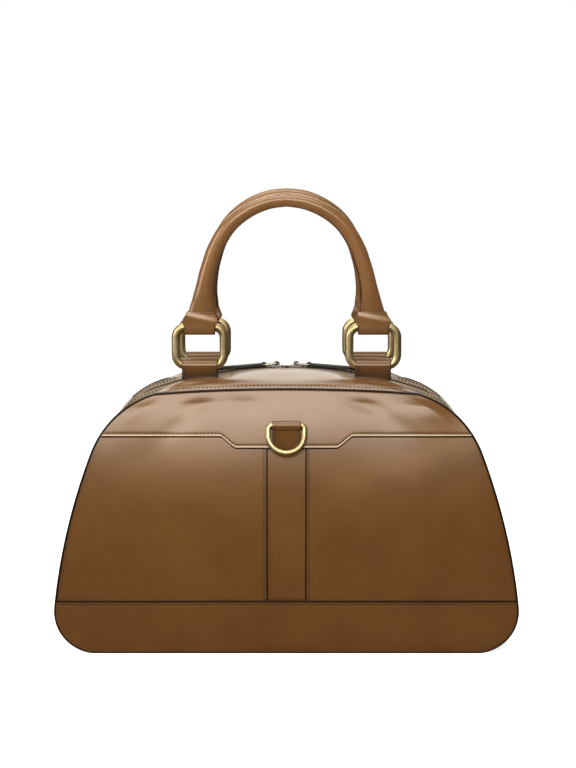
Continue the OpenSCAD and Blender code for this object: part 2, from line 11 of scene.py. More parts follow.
import bmesh
import bpy
import numpy as np
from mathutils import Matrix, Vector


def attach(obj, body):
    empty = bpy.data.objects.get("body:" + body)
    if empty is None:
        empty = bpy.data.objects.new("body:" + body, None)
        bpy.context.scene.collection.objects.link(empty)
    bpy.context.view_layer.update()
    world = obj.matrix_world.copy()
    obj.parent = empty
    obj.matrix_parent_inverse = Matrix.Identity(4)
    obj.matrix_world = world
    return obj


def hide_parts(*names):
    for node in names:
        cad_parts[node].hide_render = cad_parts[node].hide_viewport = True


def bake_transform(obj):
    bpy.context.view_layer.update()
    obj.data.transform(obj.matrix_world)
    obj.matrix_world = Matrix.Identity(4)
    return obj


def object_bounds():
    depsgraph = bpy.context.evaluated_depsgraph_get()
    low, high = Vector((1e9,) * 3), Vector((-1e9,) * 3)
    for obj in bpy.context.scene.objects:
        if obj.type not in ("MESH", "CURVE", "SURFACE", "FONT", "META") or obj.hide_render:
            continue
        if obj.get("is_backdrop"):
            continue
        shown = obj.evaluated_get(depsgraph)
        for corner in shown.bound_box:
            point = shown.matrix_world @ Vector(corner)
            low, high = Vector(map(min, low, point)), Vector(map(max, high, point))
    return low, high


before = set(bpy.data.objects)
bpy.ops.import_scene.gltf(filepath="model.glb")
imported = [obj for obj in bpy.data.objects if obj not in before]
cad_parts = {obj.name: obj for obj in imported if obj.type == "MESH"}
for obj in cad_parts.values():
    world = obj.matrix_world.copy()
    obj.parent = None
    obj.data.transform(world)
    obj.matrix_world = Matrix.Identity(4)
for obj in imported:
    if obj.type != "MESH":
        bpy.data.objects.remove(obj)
cad_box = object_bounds()

# %% [markdown]
# ## The view
# A product photograph of a bag is taken from a little above the handles' height with a long
# lens. The camera looks slightly down, and the vertical sensor size fixes the frame's height.

# %% Camera
camera_distance = 1.2
camera_height = 0.35
camera_aside = 0.0012
camera_pitch = math.radians(6.75)
sensor = 36.0
focal_px = 1443.0
frame_px = 768.0



def in_scene(name, data):
    """A new object in the scene that shows a mesh, a lamp or a camera."""
    thing = bpy.data.objects.new(name, data)
    bpy.context.scene.collection.objects.link(thing)
    return thing


camera_data = bpy.data.cameras.new("camera")
camera_data.sensor_fit = "VERTICAL"
camera_data.sensor_height = sensor
camera_data.lens = sensor * focal_px / frame_px
camera = in_scene("camera", camera_data)
camera.location = (camera_aside, -camera_distance, camera_height)
camera.rotation_euler = (math.pi / 2 - camera_pitch, 0, 0)
bpy.context.scene.camera = camera
bpy.context.scene.view_settings.view_transform = "Standard"
print("lens:", round(camera_data.lens, 1), "mm")

# %% [markdown]
# ## Node trees
# Shaders and geometry are both trees of nodes. One function adds a node, sets what it is given
# and links any socket that is passed as a value, so that a tree reads from top to bottom.

# %% Helpers for colours and nodes
MM = 0.001


def linear(code):
    """An sRGB hex colour as linear red, green, blue and alpha."""
    parts = [int(code[i:i + 2], 16) / 255 for i in (1, 3, 5)]
    return [p / 12.92 if p <= 0.04045 else ((p + 0.055) / 1.055) ** 2.4 for p in parts] + [1.0]


def add(tree, kind, inputs=None, **settings):
    """A new node with its settings, values and links."""
    node = tree.nodes.new(kind)
    for name, value in settings.items():
        setattr(node, name, value)
    for key, value in (inputs or {}).items():
        if isinstance(value, bpy.types.NodeSocket):
            tree.links.new(value, node.inputs[key])
        else:
            node.inputs[key].default_value = value
    return node


def new_material(name):
    """An empty material and its tree."""
    material = bpy.data.materials.new(name)
    material.use_nodes = True
    material.node_tree.nodes.clear()
    return material, material.node_tree


def noise(tree, place, size, detail, roughness=0.5):
    """A cloudy pattern from 0 to 1 with blobs of a size in millimetres."""
    return add(tree, "ShaderNodeTexNoise", {
        "Vector": place, "Scale": 1 / (size * MM), "Detail": detail,
        "Roughness": roughness}).outputs["Fac"]


def mapped(tree, value, low, high, to_low=0.0, to_high=1.0):
    """A value taken from one range to another and held at its ends."""
    return add(tree, "ShaderNodeMapRange", {"Value": value, "From Min": low, "From Max": high,
                                            "To Min": to_low, "To Max": to_high}).outputs[0]


def between(tree, share, first, second):
    """A colour between two, by a share from 0 to 1."""
    return add(tree, "ShaderNodeMix", {0: share, 6: first, 7: second}, data_type="RGBA").outputs[2]


def mixed(tree, share, first, second):
    """A shader between two, by a share from 0 to 1."""
    return add(tree, "ShaderNodeMixShader", {0: share, 1: first, 2: second}).outputs[0]


def times(tree, colour, factor):
    """A colour made darker or lighter by a factor."""
    product = add(tree, "ShaderNodeVectorMath", {0: colour, 1: factor}, operation="MULTIPLY")
    return product.outputs[0]


def bumps(tree, height, strength, depth, **under):
    """Normals for a relief of a depth in millimetres, on top of other normals where given."""
    inputs = {"Height": height, "Strength": strength, "Distance": depth * MM}
    return add(tree, "ShaderNodeBump", inputs | under).outputs[0]


def surface(tree, inputs):
    """Ends a material with one shader."""
    shader = add(tree, "ShaderNodeBsdfPrincipled", inputs)
    add(tree, "ShaderNodeOutputMaterial", {"Surface": shader.outputs[0]})


# %% [markdown]
# ## Light and floor
# Smooth calf shows its shape by its sheen, so the light is broad: a large soft box in front and
# above, weaker ones at the left, overhead and behind, and a dim even world. What shines mirrors
# that world brighter overhead and straight behind, and darker near the horizon. The camera sees
# the world and the floor as white, while the light on the bag stays at the level that shows
# each colour as it is written.

# %% World, lamps and floor
world = bpy.data.worlds.new("studio")
world.use_nodes = True
bpy.context.scene.world = world
tree = world.node_tree
tree.nodes.clear()
path = add(tree, "ShaderNodeLightPath")
white = add(tree, "ShaderNodeBackground", {"Color": (1, 1, 1, 1), "Strength": 1.0}).outputs[0]
dim = add(tree, "ShaderNodeBackground", {"Color": linear("#f4f1ec"), "Strength": 0.26}).outputs[0]
aim = add(tree, "ShaderNodeTexCoord").outputs["Generated"]
heading = add(tree, "ShaderNodeSeparateXYZ", {0: aim})
ceiling = mapped(tree, heading.outputs["Z"], 0.35, 0.6, 0.12, 0.45)
backdrop = mapped(tree, heading.outputs["Y"], 0.92, 0.985, 0.0, 0.6)
mirrored = add(tree, "ShaderNodeMath", {0: ceiling, 1: backdrop}, operation="MAXIMUM").outputs[0]
glossy = add(tree, "ShaderNodeBackground", {"Color": linear("#f2e0bf"), "Strength": mirrored})
unseen = mixed(tree, path.outputs["Is Glossy Ray"], dim, glossy.outputs[0])
shown = add(tree, "ShaderNodeMath", {0: path.outputs["Is Camera Ray"],
                                     1: path.outputs["Is Transmission Ray"]}, operation="MAXIMUM")
add(tree, "ShaderNodeOutputWorld", {"Surface": mixed(tree, shown.outputs[0], unseen, white)})

lamp_colour = "#faf6ee"


def soft_box(name, place, aim, width, height, watts):
    """A rectangular area lamp at a place, turned towards a point."""
    lamp = bpy.data.lights.new(name, "AREA")
    lamp.shape = "RECTANGLE"
    lamp.size = width
    lamp.size_y = height
    lamp.energy = watts
    lamp.color = linear(lamp_colour)[:3]
    box = in_scene(name, lamp)
    box.location = place
    direction = np.array(aim) - np.array(place)
    flat = math.hypot(direction[0], direction[1])
    box.rotation_euler = (math.atan2(flat, -direction[2]), 0,
                          math.atan2(-direction[0], direction[1]))


soft_box("key_box", (-0.2, -2.2, 1.21), (0, 0, 0.15), 1.45, 0.78, 31)
soft_box("left_box", (-1.4, -0.8, 0.75), (0, 0, 0.2), 0.7, 1.0, 14)
soft_box("top_box", (-0.1, -0.2, 1.5), (0, 0, 0.2), 1.2, 1.0, 14.5)
soft_box("rear_box", (-0.2, 1.6, 1.25), (0, 0, 0.2), 1.8, 0.7, 9)

floor_material, tree = new_material("pale_floor")
path = add(tree, "ShaderNodeLightPath")
plain = add(tree, "ShaderNodeBsdfDiffuse", {"Color": linear("#f2f0ed")}).outputs[0]
dull = add(tree, "ShaderNodeBsdfDiffuse", {"Color": linear("#5f5c57")}).outputs[0]
bright = add(tree, "ShaderNodeEmission", {"Color": (1, 1, 1, 1), "Strength": 0.8})
lit = add(tree, "ShaderNodeAddShader", {0: plain, 1: bright.outputs[0]})
seen = mixed(tree, path.outputs["Is Camera Ray"], plain, lit.outputs[0])
add(tree, "ShaderNodeOutputMaterial", {"Surface": mixed(tree, path.outputs["Is Glossy Ray"], seen,
                                                        dull)})
floor_mesh = bpy.data.meshes.new("floor")
floor_half = 6.0
corners = [(x * floor_half, y * floor_half, 0) for x, y in ((-1, -1), (1, -1), (1, 1), (-1, 1))]
floor_mesh.from_pydata(corners, [], [(0, 1, 2, 3)])
floor_mesh.materials.append(floor_material)
floor = in_scene("floor", floor_mesh)
floor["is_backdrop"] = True

# %% [markdown]
# ## Finishes
# Calf is dyed through and polished by hand, so its brown drifts over a few centimetres, its grain
# is almost closed, and its cut edges are painted dark. The shader reads up to three attributes of a
# piece: paint is 1 on a cut edge, wear darkens near an edge that hands rub and is painted shade on
# the lower legs of the handle bases, and rub is a pale painted highlight beside a seam.

# %% Leather and edge paint
# Wear and painted shade darken the leather towards this colour.
wear_and_shade_colour = "#33200f"
# The pale colour of the painted highlight beside a seam.
rub_colour = "#e3c79c"
paint_colour = "#140d09"
grain_size = 1.3


def leather(name, deep, light, roughness, coat, sheen="#ffcb85"):
    """Smooth calf: dyed, glazed and polished. Its colour drifts, and its grain is fine."""
    material, tree = new_material(name)
    place = add(tree, "ShaderNodeTexCoord").outputs["Object"]
    patina = noise(tree, place, 55, 3.0, 0.55)
    mottle = noise(tree, place, 7, 4.0, 0.6)
    swell = noise(tree, place, 42, 0.6, 0.3)
    grain = add(tree, "ShaderNodeTexVoronoi", {"Vector": place, "Scale": 1 / (grain_size * MM)},
                feature="SMOOTH_F1")
    wear, rub, paint = (add(tree, "ShaderNodeAttribute", attribute_name=key).outputs["Fac"]
                        for key in ("wear", "rub", "paint"))
    dyed = between(tree, mapped(tree, patina, 0.36, 0.64), linear(deep), linear(light))
    mottled = times(tree, dyed, mapped(tree, mottle, 0.3, 0.7, 0.96, 1.03))
    # Darker near edges that hands rub, and painted shade on the lower legs of the handle bases.
    darkening = between(tree, wear, mottled, linear(wear_and_shade_colour))
    # A pale painted highlight beside a seam, where the attribute asks for it.
    rubbed = between(tree, rub, darkening, linear(rub_colour))
    gloss = mapped(tree, mottle, 0.3, 0.7, roughness - 0.02, roughness + 0.03)
    fine = bumps(tree, grain.outputs["Distance"], 0.05, 0.25)
    surface(tree, {
        "Base Color": between(tree, paint, rubbed, linear(paint_colour)), "Roughness": gloss,
        "Normal": bumps(tree, swell, 0.5, 5, Normal=fine), "IOR": 1.5,
        "Specular IOR Level": mapped(tree, paint, 0, 1, 0.45, 0.12),
        "Specular Tint": linear(sheen), "Coat Weight": mapped(tree, paint, 0, 1, coat, 0.0),
        "Coat Roughness": 0.24})
    return material


def painted(name, colour, roughness):
    """Edge paint: brushed on in thick coats, so it is even, dark and slightly rippled."""
    material, tree = new_material(name)
    place = add(tree, "ShaderNodeTexCoord").outputs["Object"]
    ripple = noise(tree, place, 5, 3.0)
    surface(tree, {
        "Base Color": between(tree, ripple, linear(colour), linear("#22160f")),
        "Normal": bumps(tree, ripple, 0.4, 0.6), "Roughness": roughness,
        "Specular IOR Level": 0.15})
    return material


calf = leather("polished_calf", "#593611", "#603c14", 0.36, 1.0)
# The handles' calf is paler and less warm than the body's.
rolled_calf = leather("thin_rolled_calf", "#704c2a", "#7a5431", 0.38, 1.0)
# The pulls are calf dyed almost black, with little glaze.
pull_calf = leather("dark_calf", "#100d0c", "#1b1715", 0.4, 0.2, "#ffffff")
edge_paint = painted("edge_paint", "#120c09", 0.45)
print("leathers:", calf.name, rolled_calf.name, pull_calf.name, edge_paint.name)

# %% [markdown]
# ## Woven finishes
# The gussets are cotton canvas, the inside is a finer cotton twill and the zip tape is a dense
# polyester weave. A weave has to follow its cloth, so each cloth piece stores its own flat
# millimetres in an attribute, and two wave patterns across each other draw the threads.

# %% Woven cloth


def woven(name, warp, weft, spacing, relief, roughness, sheen):
    """Plain weave with threads at a spacing in millimetres."""
    material, tree = new_material(name)
    flat = add(tree, "ShaderNodeAttribute", attribute_name="cloth").outputs["Vector"]
    scale = 2 * math.pi / 20 / spacing
    across, along = (add(tree, "ShaderNodeTexWave", {
        "Vector": flat, "Scale": scale, "Distortion": 0.35, "Detail Scale": 0.3},
        bands_direction=way).outputs["Fac"] for way in ("X", "Y"))
    threads = add(tree, "ShaderNodeMath", {0: across, 1: along}, operation="MULTIPLY").outputs[0]
    slub = add(tree, "ShaderNodeTexNoise", {"Vector": flat, "Scale": 0.09, "Detail": 3.0})
    tone = between(tree, slub.outputs["Fac"], linear(warp), linear(weft))
    surface(tree, {
        "Base Color": times(tree, tone, mapped(tree, threads, 0, 1, 0.62, 1.08)),
        "Roughness": roughness, "Normal": bumps(tree, threads, 0.6, relief),
        "Sheen Weight": sheen, "Sheen Roughness": 0.5})
    return material


# A canvas thread is 0.5 mm, which is too fine for the render, so it is drawn at 0.9 mm.
canvas = woven("cotton_canvas", "#dbd7ce", "#c6c1b6", 0.9, 0.25, 0.85, 0.15)
lining_cloth = woven("cotton_twill_lining", "#9a866c", "#85735c", 1.1, 0.2, 0.8, 0.1)
tape_cloth = woven("polyester_zip_tape", "#2b2420", "#382e28", 1.0, 0.15, 0.7, 0.1)

# %% [markdown]
# ## Metal, board and thread
# The rings are plated brass that has aged, so it is softly polished and darker in patches. The
# zip's teeth are darkened nickel, and its sliders are bright nickel. Waxed thread is thick, matt
# and darker than calf.

# %% Metal, board, thread and rope


def metal(name, colour, tarnish, roughness):
    """Cast or drawn metal with a polished face and a thin, uneven tarnish."""
    material, tree = new_material(name)
    place = add(tree, "ShaderNodeTexCoord").outputs["Object"]
    cloud = noise(tree, place, 9, 4.0)
    scratch = noise(tree, place, 0.8, 2.0)
    tone = between(tree, mapped(tree, cloud, 0.4, 0.75), linear(colour), linear(tarnish))
    surface(tree, {
        "Base Color": tone, "Metallic": 1.0, "Normal": bumps(tree, scratch, 0.03, 0.1),
        "Roughness": mapped(tree, cloud, 0, 1, roughness - 0.04, roughness + 0.08)})
    return material


def fibrous(name, colour, second, size, roughness):
    """Pressed board, thread or rope: matt fibres in two close tones."""
    material, tree = new_material(name)
    place = add(tree, "ShaderNodeTexCoord").outputs["Object"]
    fibre = noise(tree, place, size, 5.0)
    surface(tree, {
        "Base Color": between(tree, fibre, linear(colour), linear(second)),
        "Roughness": roughness, "Normal": bumps(tree, fibre, 0.4, 0.2)})
    return material


brass = metal("satin_brass", "#d3c197", "#a8935f", 0.38)
nickel = metal("darkened_nickel", "#8f8b86", "#5b5754", 0.3)
silver = metal("bright_nickel", "#a19e99", "#76736f", 0.18)
board = fibrous("pressed_fibreboard", "#3a2a20", "#4a382c", 2.5, 0.85)
thread = fibrous("waxed_thread", "#180d05", "#28180b", 0.6, 0.7)
dark_thread = fibrous("dark_waxed_thread", "#20150f", "#35241a", 0.6, 0.6)
rope = fibrous("cotton_rope", "#b9ab90", "#d0c4ab", 1.5, 0.9)
print("metals:", brass.name, nickel.name, silver.name)

# %% [markdown]
# ## The shape of the body
# The walls are cut to one domed outline of tangent arcs, and each wall is a band of a large
# cylinder, upright near the floor and leaning in towards the zip. Every layer of leather lies
# at its own level on that wall. All values here are in millimetres.

# %% Outline and walls
body_w = 370.0
body_d = 160.0
body_h = 223.0
corner_r = 34.0
side_r = 520.0
side_lean = math.radians(6.5)
shoulder_r = 75.0
crown_r = 345.0
roof_r = 135.0
wall_r = 556.0
wall_upright_z = 50.0
edge_h = 210.6
edge_r = 1450.0
leather_t = 1.2
backing_t = 2.4
skin_out = 2 * leather_t
piping_in = 0.75
piping_proud = 0.5
# The side of each wall, the sign of each end, and the four quarters of the roof.
FRONT = -1
REAR = 1
walls = ((FRONT, "front"), (REAR, "rear"))
ends = ((1, "right"), (-1, "left"))
quarters = [(side, word, end, which) for side, word in walls for end, which in ends]
arc_step = 1.6


def arc(centre, radius, start, end):
    """Points on an arc about a step apart."""
    count = max(2, round(abs(end - start) * radius / arc_step))
    angles = np.linspace(start, end, count + 1)
    return np.stack([centre[0] + radius * np.cos(angles), centre[1] + radius * np.sin(angles)], 1)


def circles_meet(c1, r1, c2, r2):
    """The upper crossing of two circles."""
    gap = np.linalg.norm(c2 - c1)
    along = (r1 * r1 - r2 * r2 + gap * gap) / (2 * gap)
    aside = math.sqrt(r1 * r1 - along * along)
    unit = (c2 - c1) / gap
    return c1 + along * unit + aside * np.array([-unit[1], unit[0]])


corner_c = np.array([body_w / 2 - corner_r, corner_r])
side_c = corner_c + (corner_r - side_r) * np.array([math.cos(side_lean), math.sin(side_lean)])
crown_c = np.array([0.0, body_h - crown_r])
shoulder_c = circles_meet(side_c, side_r - shoulder_r, crown_c, crown_r - shoulder_r)
side_end = math.atan2(shoulder_c[1] - side_c[1], shoulder_c[0] - side_c[0])
shoulder_end = math.atan2(shoulder_c[1] - crown_c[1], shoulder_c[0] - crown_c[0])


@functools.lru_cache
def right_side(level):
    """The right half of the outline, from the bottom corner up to the middle of the crown."""
    parts = [
        arc(corner_c, corner_r + level, -math.pi / 2, side_lean),
        arc(side_c, side_r + level, side_lean, side_end),
        arc(shoulder_c, shoulder_r + level, side_end, shoulder_end),
        arc(crown_c, crown_r + level, shoulder_end, math.pi / 2),
    ]
    return np.concatenate([parts[0]] + [part[1:] for part in parts[1:]])


def half_width(z, level=0.0):
    """Half the outline's width at a height."""
    line = right_side(level)
    return np.interp(z, line[:, 1], line[:, 0])


def crown_z(x):
    """The outline's height above a place near its top."""
    line = right_side(0.0)
    top = line[np.argmax(line[:, 0]):][::-1]
    return np.interp(np.abs(x), top[:, 0], top[:, 1])


def wall_depth(z, level):
    """Distance from the middle of the bag to a level of the front or rear wall."""
    zero = wall_r - skin_out + level
    return np.sqrt(zero ** 2 - (z - wall_upright_z) ** 2) - (wall_r - body_d / 2)


def edge_top(x, level):
    """The arched top edge of the front and rear faces."""
    return edge_h - edge_r + np.sqrt((edge_r + level) ** 2 - x ** 2)


@functools.lru_cache
def face_side(level):
    """The right half of a face's edge, from the bottom corner to the middle of its top edge."""
    line = right_side(level)
    last = int(np.argmax(line[:, 1] > edge_top(line[:, 0], level)))
    over = line[last - 1:last + 1, 1] - edge_top(line[last - 1:last + 1, 0], level)
    corner = line[last - 1] - over[0] * (line[last] - line[last - 1]) / (over[1] - over[0])
    top_x = np.linspace(corner[0], 0, 50)
    return np.concatenate([line[:last], np.stack([top_x, edge_top(top_x, level)], 1)]), corner


print("shoulder centre:", np.round(shoulder_c, 1), "face corner:", np.round(face_side(0.0)[1], 1))

# %% [markdown]
# ## How the leather sags
# Leather over board is never quite flat. It swells a little between its seams, dips where a
# hand presses it, and ripples along a stitched edge. One small function gives that relief for
# any place on a wall, so that every layer moves together and none cuts into another.

# %% Relief of the walls
# One dent or swelling a row: its height, its centre, its reach along and up, and its tilt.
dents = [
    (-0.7, -71, 198, 15, 6, 0.15), (-0.4, -34, 199, 14, 7, -0.1), (-0.7, 62, 198, 15, 6, -0.2),
    (-0.45, -84, 184, 16, 7, 0.6), (-0.35, 84, 186, 18, 7, -0.5), (0.3, -112, 176, 20, 12, 0.5),
    (0.3, 108, 178, 22, 12, -0.5), (0.8, -120, 197, 24, 14, 0), (1.5, 120, 196, 28, 14, 0)]


def ramp(distance, length):
    """A share that grows from 0 to 1 over a length, and stays at its ends beyond."""
    return np.clip(distance / length, 0, 1)


def bump_at(x, z, cx, cz, wide, high, tilt=0.0):
    """A soft round swelling of height 1 about a centre."""
    c, s = math.cos(tilt), math.sin(tilt)
    u = ((x - cx) * c + (z - cz) * s) / wide
    v = (-(x - cx) * s + (z - cz) * c) / high
    return np.exp(-(u * u + v * v))


def wall_relief(x, z, side):
    """How far the leather stands out from its level, in millimetres."""
    turn = 0.0 if side == FRONT else 1.7
    long = np.sin(x / 31 + turn) * np.sin(z / 27 + 0.6 * turn) + 0.5 * np.sin(x / 17 - z / 23 + 2.1)
    ripple = 0.12 * long * (1 - bump_at(x, z, 0, 100, 22, 200))
    swell = 0.8 * bump_at(np.abs(x), z, 95, 105, 60, 48) + ripple
    dented = sum(high * bump_at(x, z, *place) for high, *place in dents)
    hold = ramp(edge_top(x, 0.0) - z, 9) * ramp(z, 12) * ramp(half_width(z) - np.abs(x), 14)
    return (swell + dented) * hold


# %% [markdown]
# ## Meshes from grids
# Almost every piece is a sheet: a grid of points for its outer face, another for its inner
# face, and a rim that joins them. The grids are worked out in numpy, in millimetres, and one
# function turns them into a closed mesh in metres with its normals outwards.

# %% Closed pieces from grids of points


def xyz(x, y, z):
    """Points from their coordinates, each of which may be an array or one value."""
    return np.stack(np.broadcast_arrays(x, y, z), -1)


def full_turn(count):
    """Angles once round, without the last one, which is the first again."""
    return np.linspace(0, 2 * math.pi, count, endpoint=False)


def lengths_along(line):
    """How far along a line each of its points lies."""
    return np.concatenate([[0], np.cumsum(np.linalg.norm(np.diff(line, axis=0), axis=1))])


def make_object(name, points, faces, material, attributes):
    """A mesh object in metres from points in millimetres, with outward normals."""
    mesh = bpy.data.meshes.new(name)
    mesh.from_pydata((np.asarray(points) * MM).tolist(), [], [list(f) for f in faces])
    work = bmesh.new()
    work.from_mesh(mesh)
    bmesh.ops.recalc_face_normals(work, faces=work.faces)
    work.to_mesh(mesh)
    work.free()
    mesh.shade_smooth()
    mesh.set_sharp_from_angle(angle=math.radians(55))
    mesh.materials.append(material)
    for key, values in attributes.items():
        kind = "FLOAT_VECTOR" if values.ndim == 2 else "FLOAT"
        layer = mesh.attributes.new(key, kind, "POINT")
        layer.data.foreach_set("vector" if values.ndim == 2 else "value",
                               values.astype(np.float32).ravel())
    return in_scene(name, mesh)


def strips(first, second):
    """The four-cornered faces between two lines of point numbers."""
    return np.stack([first[:-1], first[1:], second[1:], second[:-1]], 1)


def thick_grid(name, outer, inner, material, loop=False, **fields):
    """A closed piece between two grids. A looped grid joins its last column to its first."""
    rows, cols = outer.shape[:2]
    count = rows * cols
    ids = np.arange(count).reshape(rows, cols)
    if loop:
        ids = np.concatenate([ids, ids[:, :1]], 1)
    skin = np.concatenate([strips(ids[i], ids[i + 1]) for i in range(rows - 1)])
    rims = [ids[0], ids[-1]] + ([] if loop else [ids[:, 0], ids[:, -1]])
    faces = [skin, skin[:, ::-1] + count] + [strips(line, line + count) for line in rims]
    attributes = {key: np.concatenate([value.reshape(count, *value.shape[2:])] * 2)
                  for key, value in fields.items()}
    points = np.concatenate([outer.reshape(-1, 3), inner.reshape(-1, 3)])
    return make_object(name, points, np.concatenate(faces).tolist(), material, attributes)


def tube(name, rings, material, closed=False, **fields):
    """A solid tube through rings of points, with flat ends unless its path is closed."""
    count, sides = rings.shape[:2]
    ids = np.arange(count * sides).reshape(count, sides)
    looped = np.concatenate([ids, ids[:, :1]], 1)
    faces = np.concatenate([strips(*looped[i:i + 2]) for i in range(count - 1)]).tolist()
    if closed:
        faces += strips(looped[-1], looped[0]).tolist()
    else:
        faces += [ids[0].tolist(), ids[-1].tolist()]
    attributes = {key: value.reshape(count * sides) for key, value in fields.items()}
    return make_object(name, rings.reshape(-1, 3), faces, material, attributes)


# Places beside an edge, close enough together for its rounding, its paint and its seam's groove.
ease = np.array([0, 0.12, 0.3, 0.6, 1.1, 1.45, 1.8, 2.2, 2.6, 2.9, 3.3, 3.8])
ease_end = 4.8
wear_reach = 3.0


def spread(low, high, step):
    """Places from low to high, close together at both ends for a rounded edge."""
    inner = np.linspace(low + ease_end, high - ease_end,
                        max(2, round((high - low - 2 * ease_end) / step)))
    return np.concatenate([low + ease, inner, high - ease[::-1]])


def rounded(distance, radius=0.6):
    """How far a surface drops at a distance from its rounded edge."""
    reach = np.clip(1 - distance / radius, 0, 1)
    return radius * (1 - np.sqrt(1 - reach ** 2))


def edge_marks(gap, painted_w, darkening, reach=wear_reach, painted_shade=0.0):
    """Paint on a cut edge and wear beside it, for distances from that edge, plus any painted shade
    that is given.
    """
    return {"paint": np.clip(1 - gap / painted_w, 0, 1),
            "wear": np.clip(darkening * np.exp(-np.maximum(gap, 0) / reach) + painted_shade, 0, 1)}


def settle(piece, body, slot, *nodes):
    """Hands a finished piece to the frame: what it moves with and what it replaces. Its slot is not
    used.
    """
    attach(piece, body)
    if nodes:
        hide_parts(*nodes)
    print(piece.name, "rides", body, "with", len(piece.data.polygons), "faces")


# %% [markdown]
# ## Stitches
# A seam is one stitch repeated a few hundred times along a line, which is work for Geometry
# Nodes: the line is resampled at the stitch pitch, a small lens of thread is put on each point
# and turned along the line, and the copies are made real so that the export keeps them.

# %% The stitch tree
def geometry_tree(name, sockets):
    """A Geometry Nodes tree with inputs, named under their kinds, and its two end nodes."""
    tree = bpy.data.node_groups.new(name, "GeometryNodeTree")
    tree.interface.new_socket("Geometry", in_out="INPUT", socket_type="NodeSocketGeometry")
    tree.interface.new_socket("Geometry", in_out="OUTPUT", socket_type="NodeSocketGeometry")
    for kind, labels in sockets.items():
        for label in labels:
            tree.interface.new_socket(label, in_out="INPUT", socket_type=f"NodeSocket{kind}")
    return tree, add(tree, "NodeGroupInput").outputs, add(tree, "NodeGroupOutput")


def steps_along(tree, given):
    """Points at the pitch along the given lines, and the turn that follows the line."""
    line = add(tree, "GeometryNodeMeshToCurve", {"Mesh": given["Geometry"]})
    points = add(tree, "GeometryNodeResampleCurve", {
        "Curve": line.outputs[0], "Length": given["Pitch"]}, mode="LENGTH")
    tangent = add(tree, "GeometryNodeInputTangent")
    turned = add(tree, "FunctionNodeAlignRotationToVector", {
        "Vector": tangent.outputs[0]}, axis="X")
    return {"Points": points.outputs[0], "Rotation": turned.outputs[0]}


def end_with_copies(tree, out, where, model, finish, smooth=True):
    """Puts a model at each place, as real mesh in its finish, and ends the tree."""
    last = add(tree, "GeometryNodeInstanceOnPoints", where | {"Instance": model})
    last = add(tree, "GeometryNodeRealizeInstances", {"Geometry": last.outputs[0]})
    if smooth:
        last = add(tree, "GeometryNodeSetShadeSmooth", {"Geometry": last.outputs[0]})
    last = add(tree, "GeometryNodeSetMaterial", {"Geometry": last.outputs[0], "Material": finish})
    tree.links.new(last.outputs[0], out.inputs[0])


stitch_tree, given, out = geometry_tree("stitch_row", {
    "Float": ["Pitch", "Length", "Thickness"], "Material": ["Thread"]})
lens = add(stitch_tree, "GeometryNodeMeshUVSphere", {"Segments": 6, "Rings": 5, "Radius": 0.5})
size = add(stitch_tree, "ShaderNodeCombineXYZ", {0: given["Length"], 1: given["Thickness"],
                                                2: given["Thickness"]})
shaped = add(stitch_tree, "GeometryNodeTransform", {"Geometry": lens.outputs["Mesh"],
                                                    "Scale": size.outputs[0]})
end_with_copies(stitch_tree, out, steps_along(stitch_tree, given), shaped.outputs[0],
                given["Thread"])


def baked(name, source):
    """A plain mesh object of what an object's modifiers make of it, in its place."""
    bpy.context.view_layer.update()
    graph = bpy.context.evaluated_depsgraph_get()
    mesh = bpy.data.meshes.new_from_object(source.evaluated_get(graph), depsgraph=graph)
    bpy.data.objects.remove(source)
    mesh.name = name
    return in_scene(name, mesh)


def grown(name, source, tree, values):
    """Runs a Geometry Nodes tree on an object and keeps the result as a plain mesh object."""
    modifier = source.modifiers.new("nodes", "NODES")
    modifier.node_group = tree
    for socket in tree.interface.items_tree:
        if socket.in_out == "INPUT" and socket.name in values:
            modifier[socket.identifier] = values[socket.name]
    return baked(name, source)


def line_object(lines):
    """Lines of points in millimetres as the edges of one mesh object."""
    points = []
    edges = []
    for line in lines:
        first = len(points)
        points += (np.asarray(line) * MM).tolist()
        edges += [(i, i + 1) for i in range(first, len(points) - 1)]
    mesh = bpy.data.meshes.new("lines")
    mesh.from_pydata(points, edges, [])
    return in_scene("lines", mesh)


def sew(name, lines, material=thread, pitch=3.1, length=1.9, thickness=0.95):
    """A row of stitches along each line, with sizes in millimetres."""
    values = {"Pitch": pitch * MM, "Length": length * MM, "Thickness": thickness * MM}
    return grown(name, line_object(lines), stitch_tree, values | {"Thread": material})


# %% [markdown]
# ## The front
# The front is cut from five pieces: two large panels that lap over a centre strip, a yoke along
# the top and a band round the base. Each is a grid between its own edges, laid on the wall at
# its level, with a rounded painted edge wherever the leather ends.

# %% Sheets of leather on a wall
stitch_inset = 2.9
stitch_sink = 0.2
groove_depth = 0.12
groove_half = 0.6
# A pale painted highlight runs along the yoke's lower edge, between its stitches and its dark line:
# its place, its half width and its share.
rub_inset = 1.65
rub_half = 0.3
yoke_rub = 0.7
# A bold cut edge's dark band is edge paint carried onto the face, and partly a painted shadow under
# the edge where it laps over the layer below.
edge_and_shadow_line = 1.2
plain_line = 0.2
paint_fade = 0.3
sheet_step = 2.6
least_row = 0.08
edge_wear = 0.25
wall_edges = ("low", "high", "left", "right")


def wall_points(x, z, level, side):
    """Places on a wall, with the leather's relief."""
    y = side * wall_depth(z, level + wall_relief(x, z, side))
    return np.stack([x, y, z], -1)


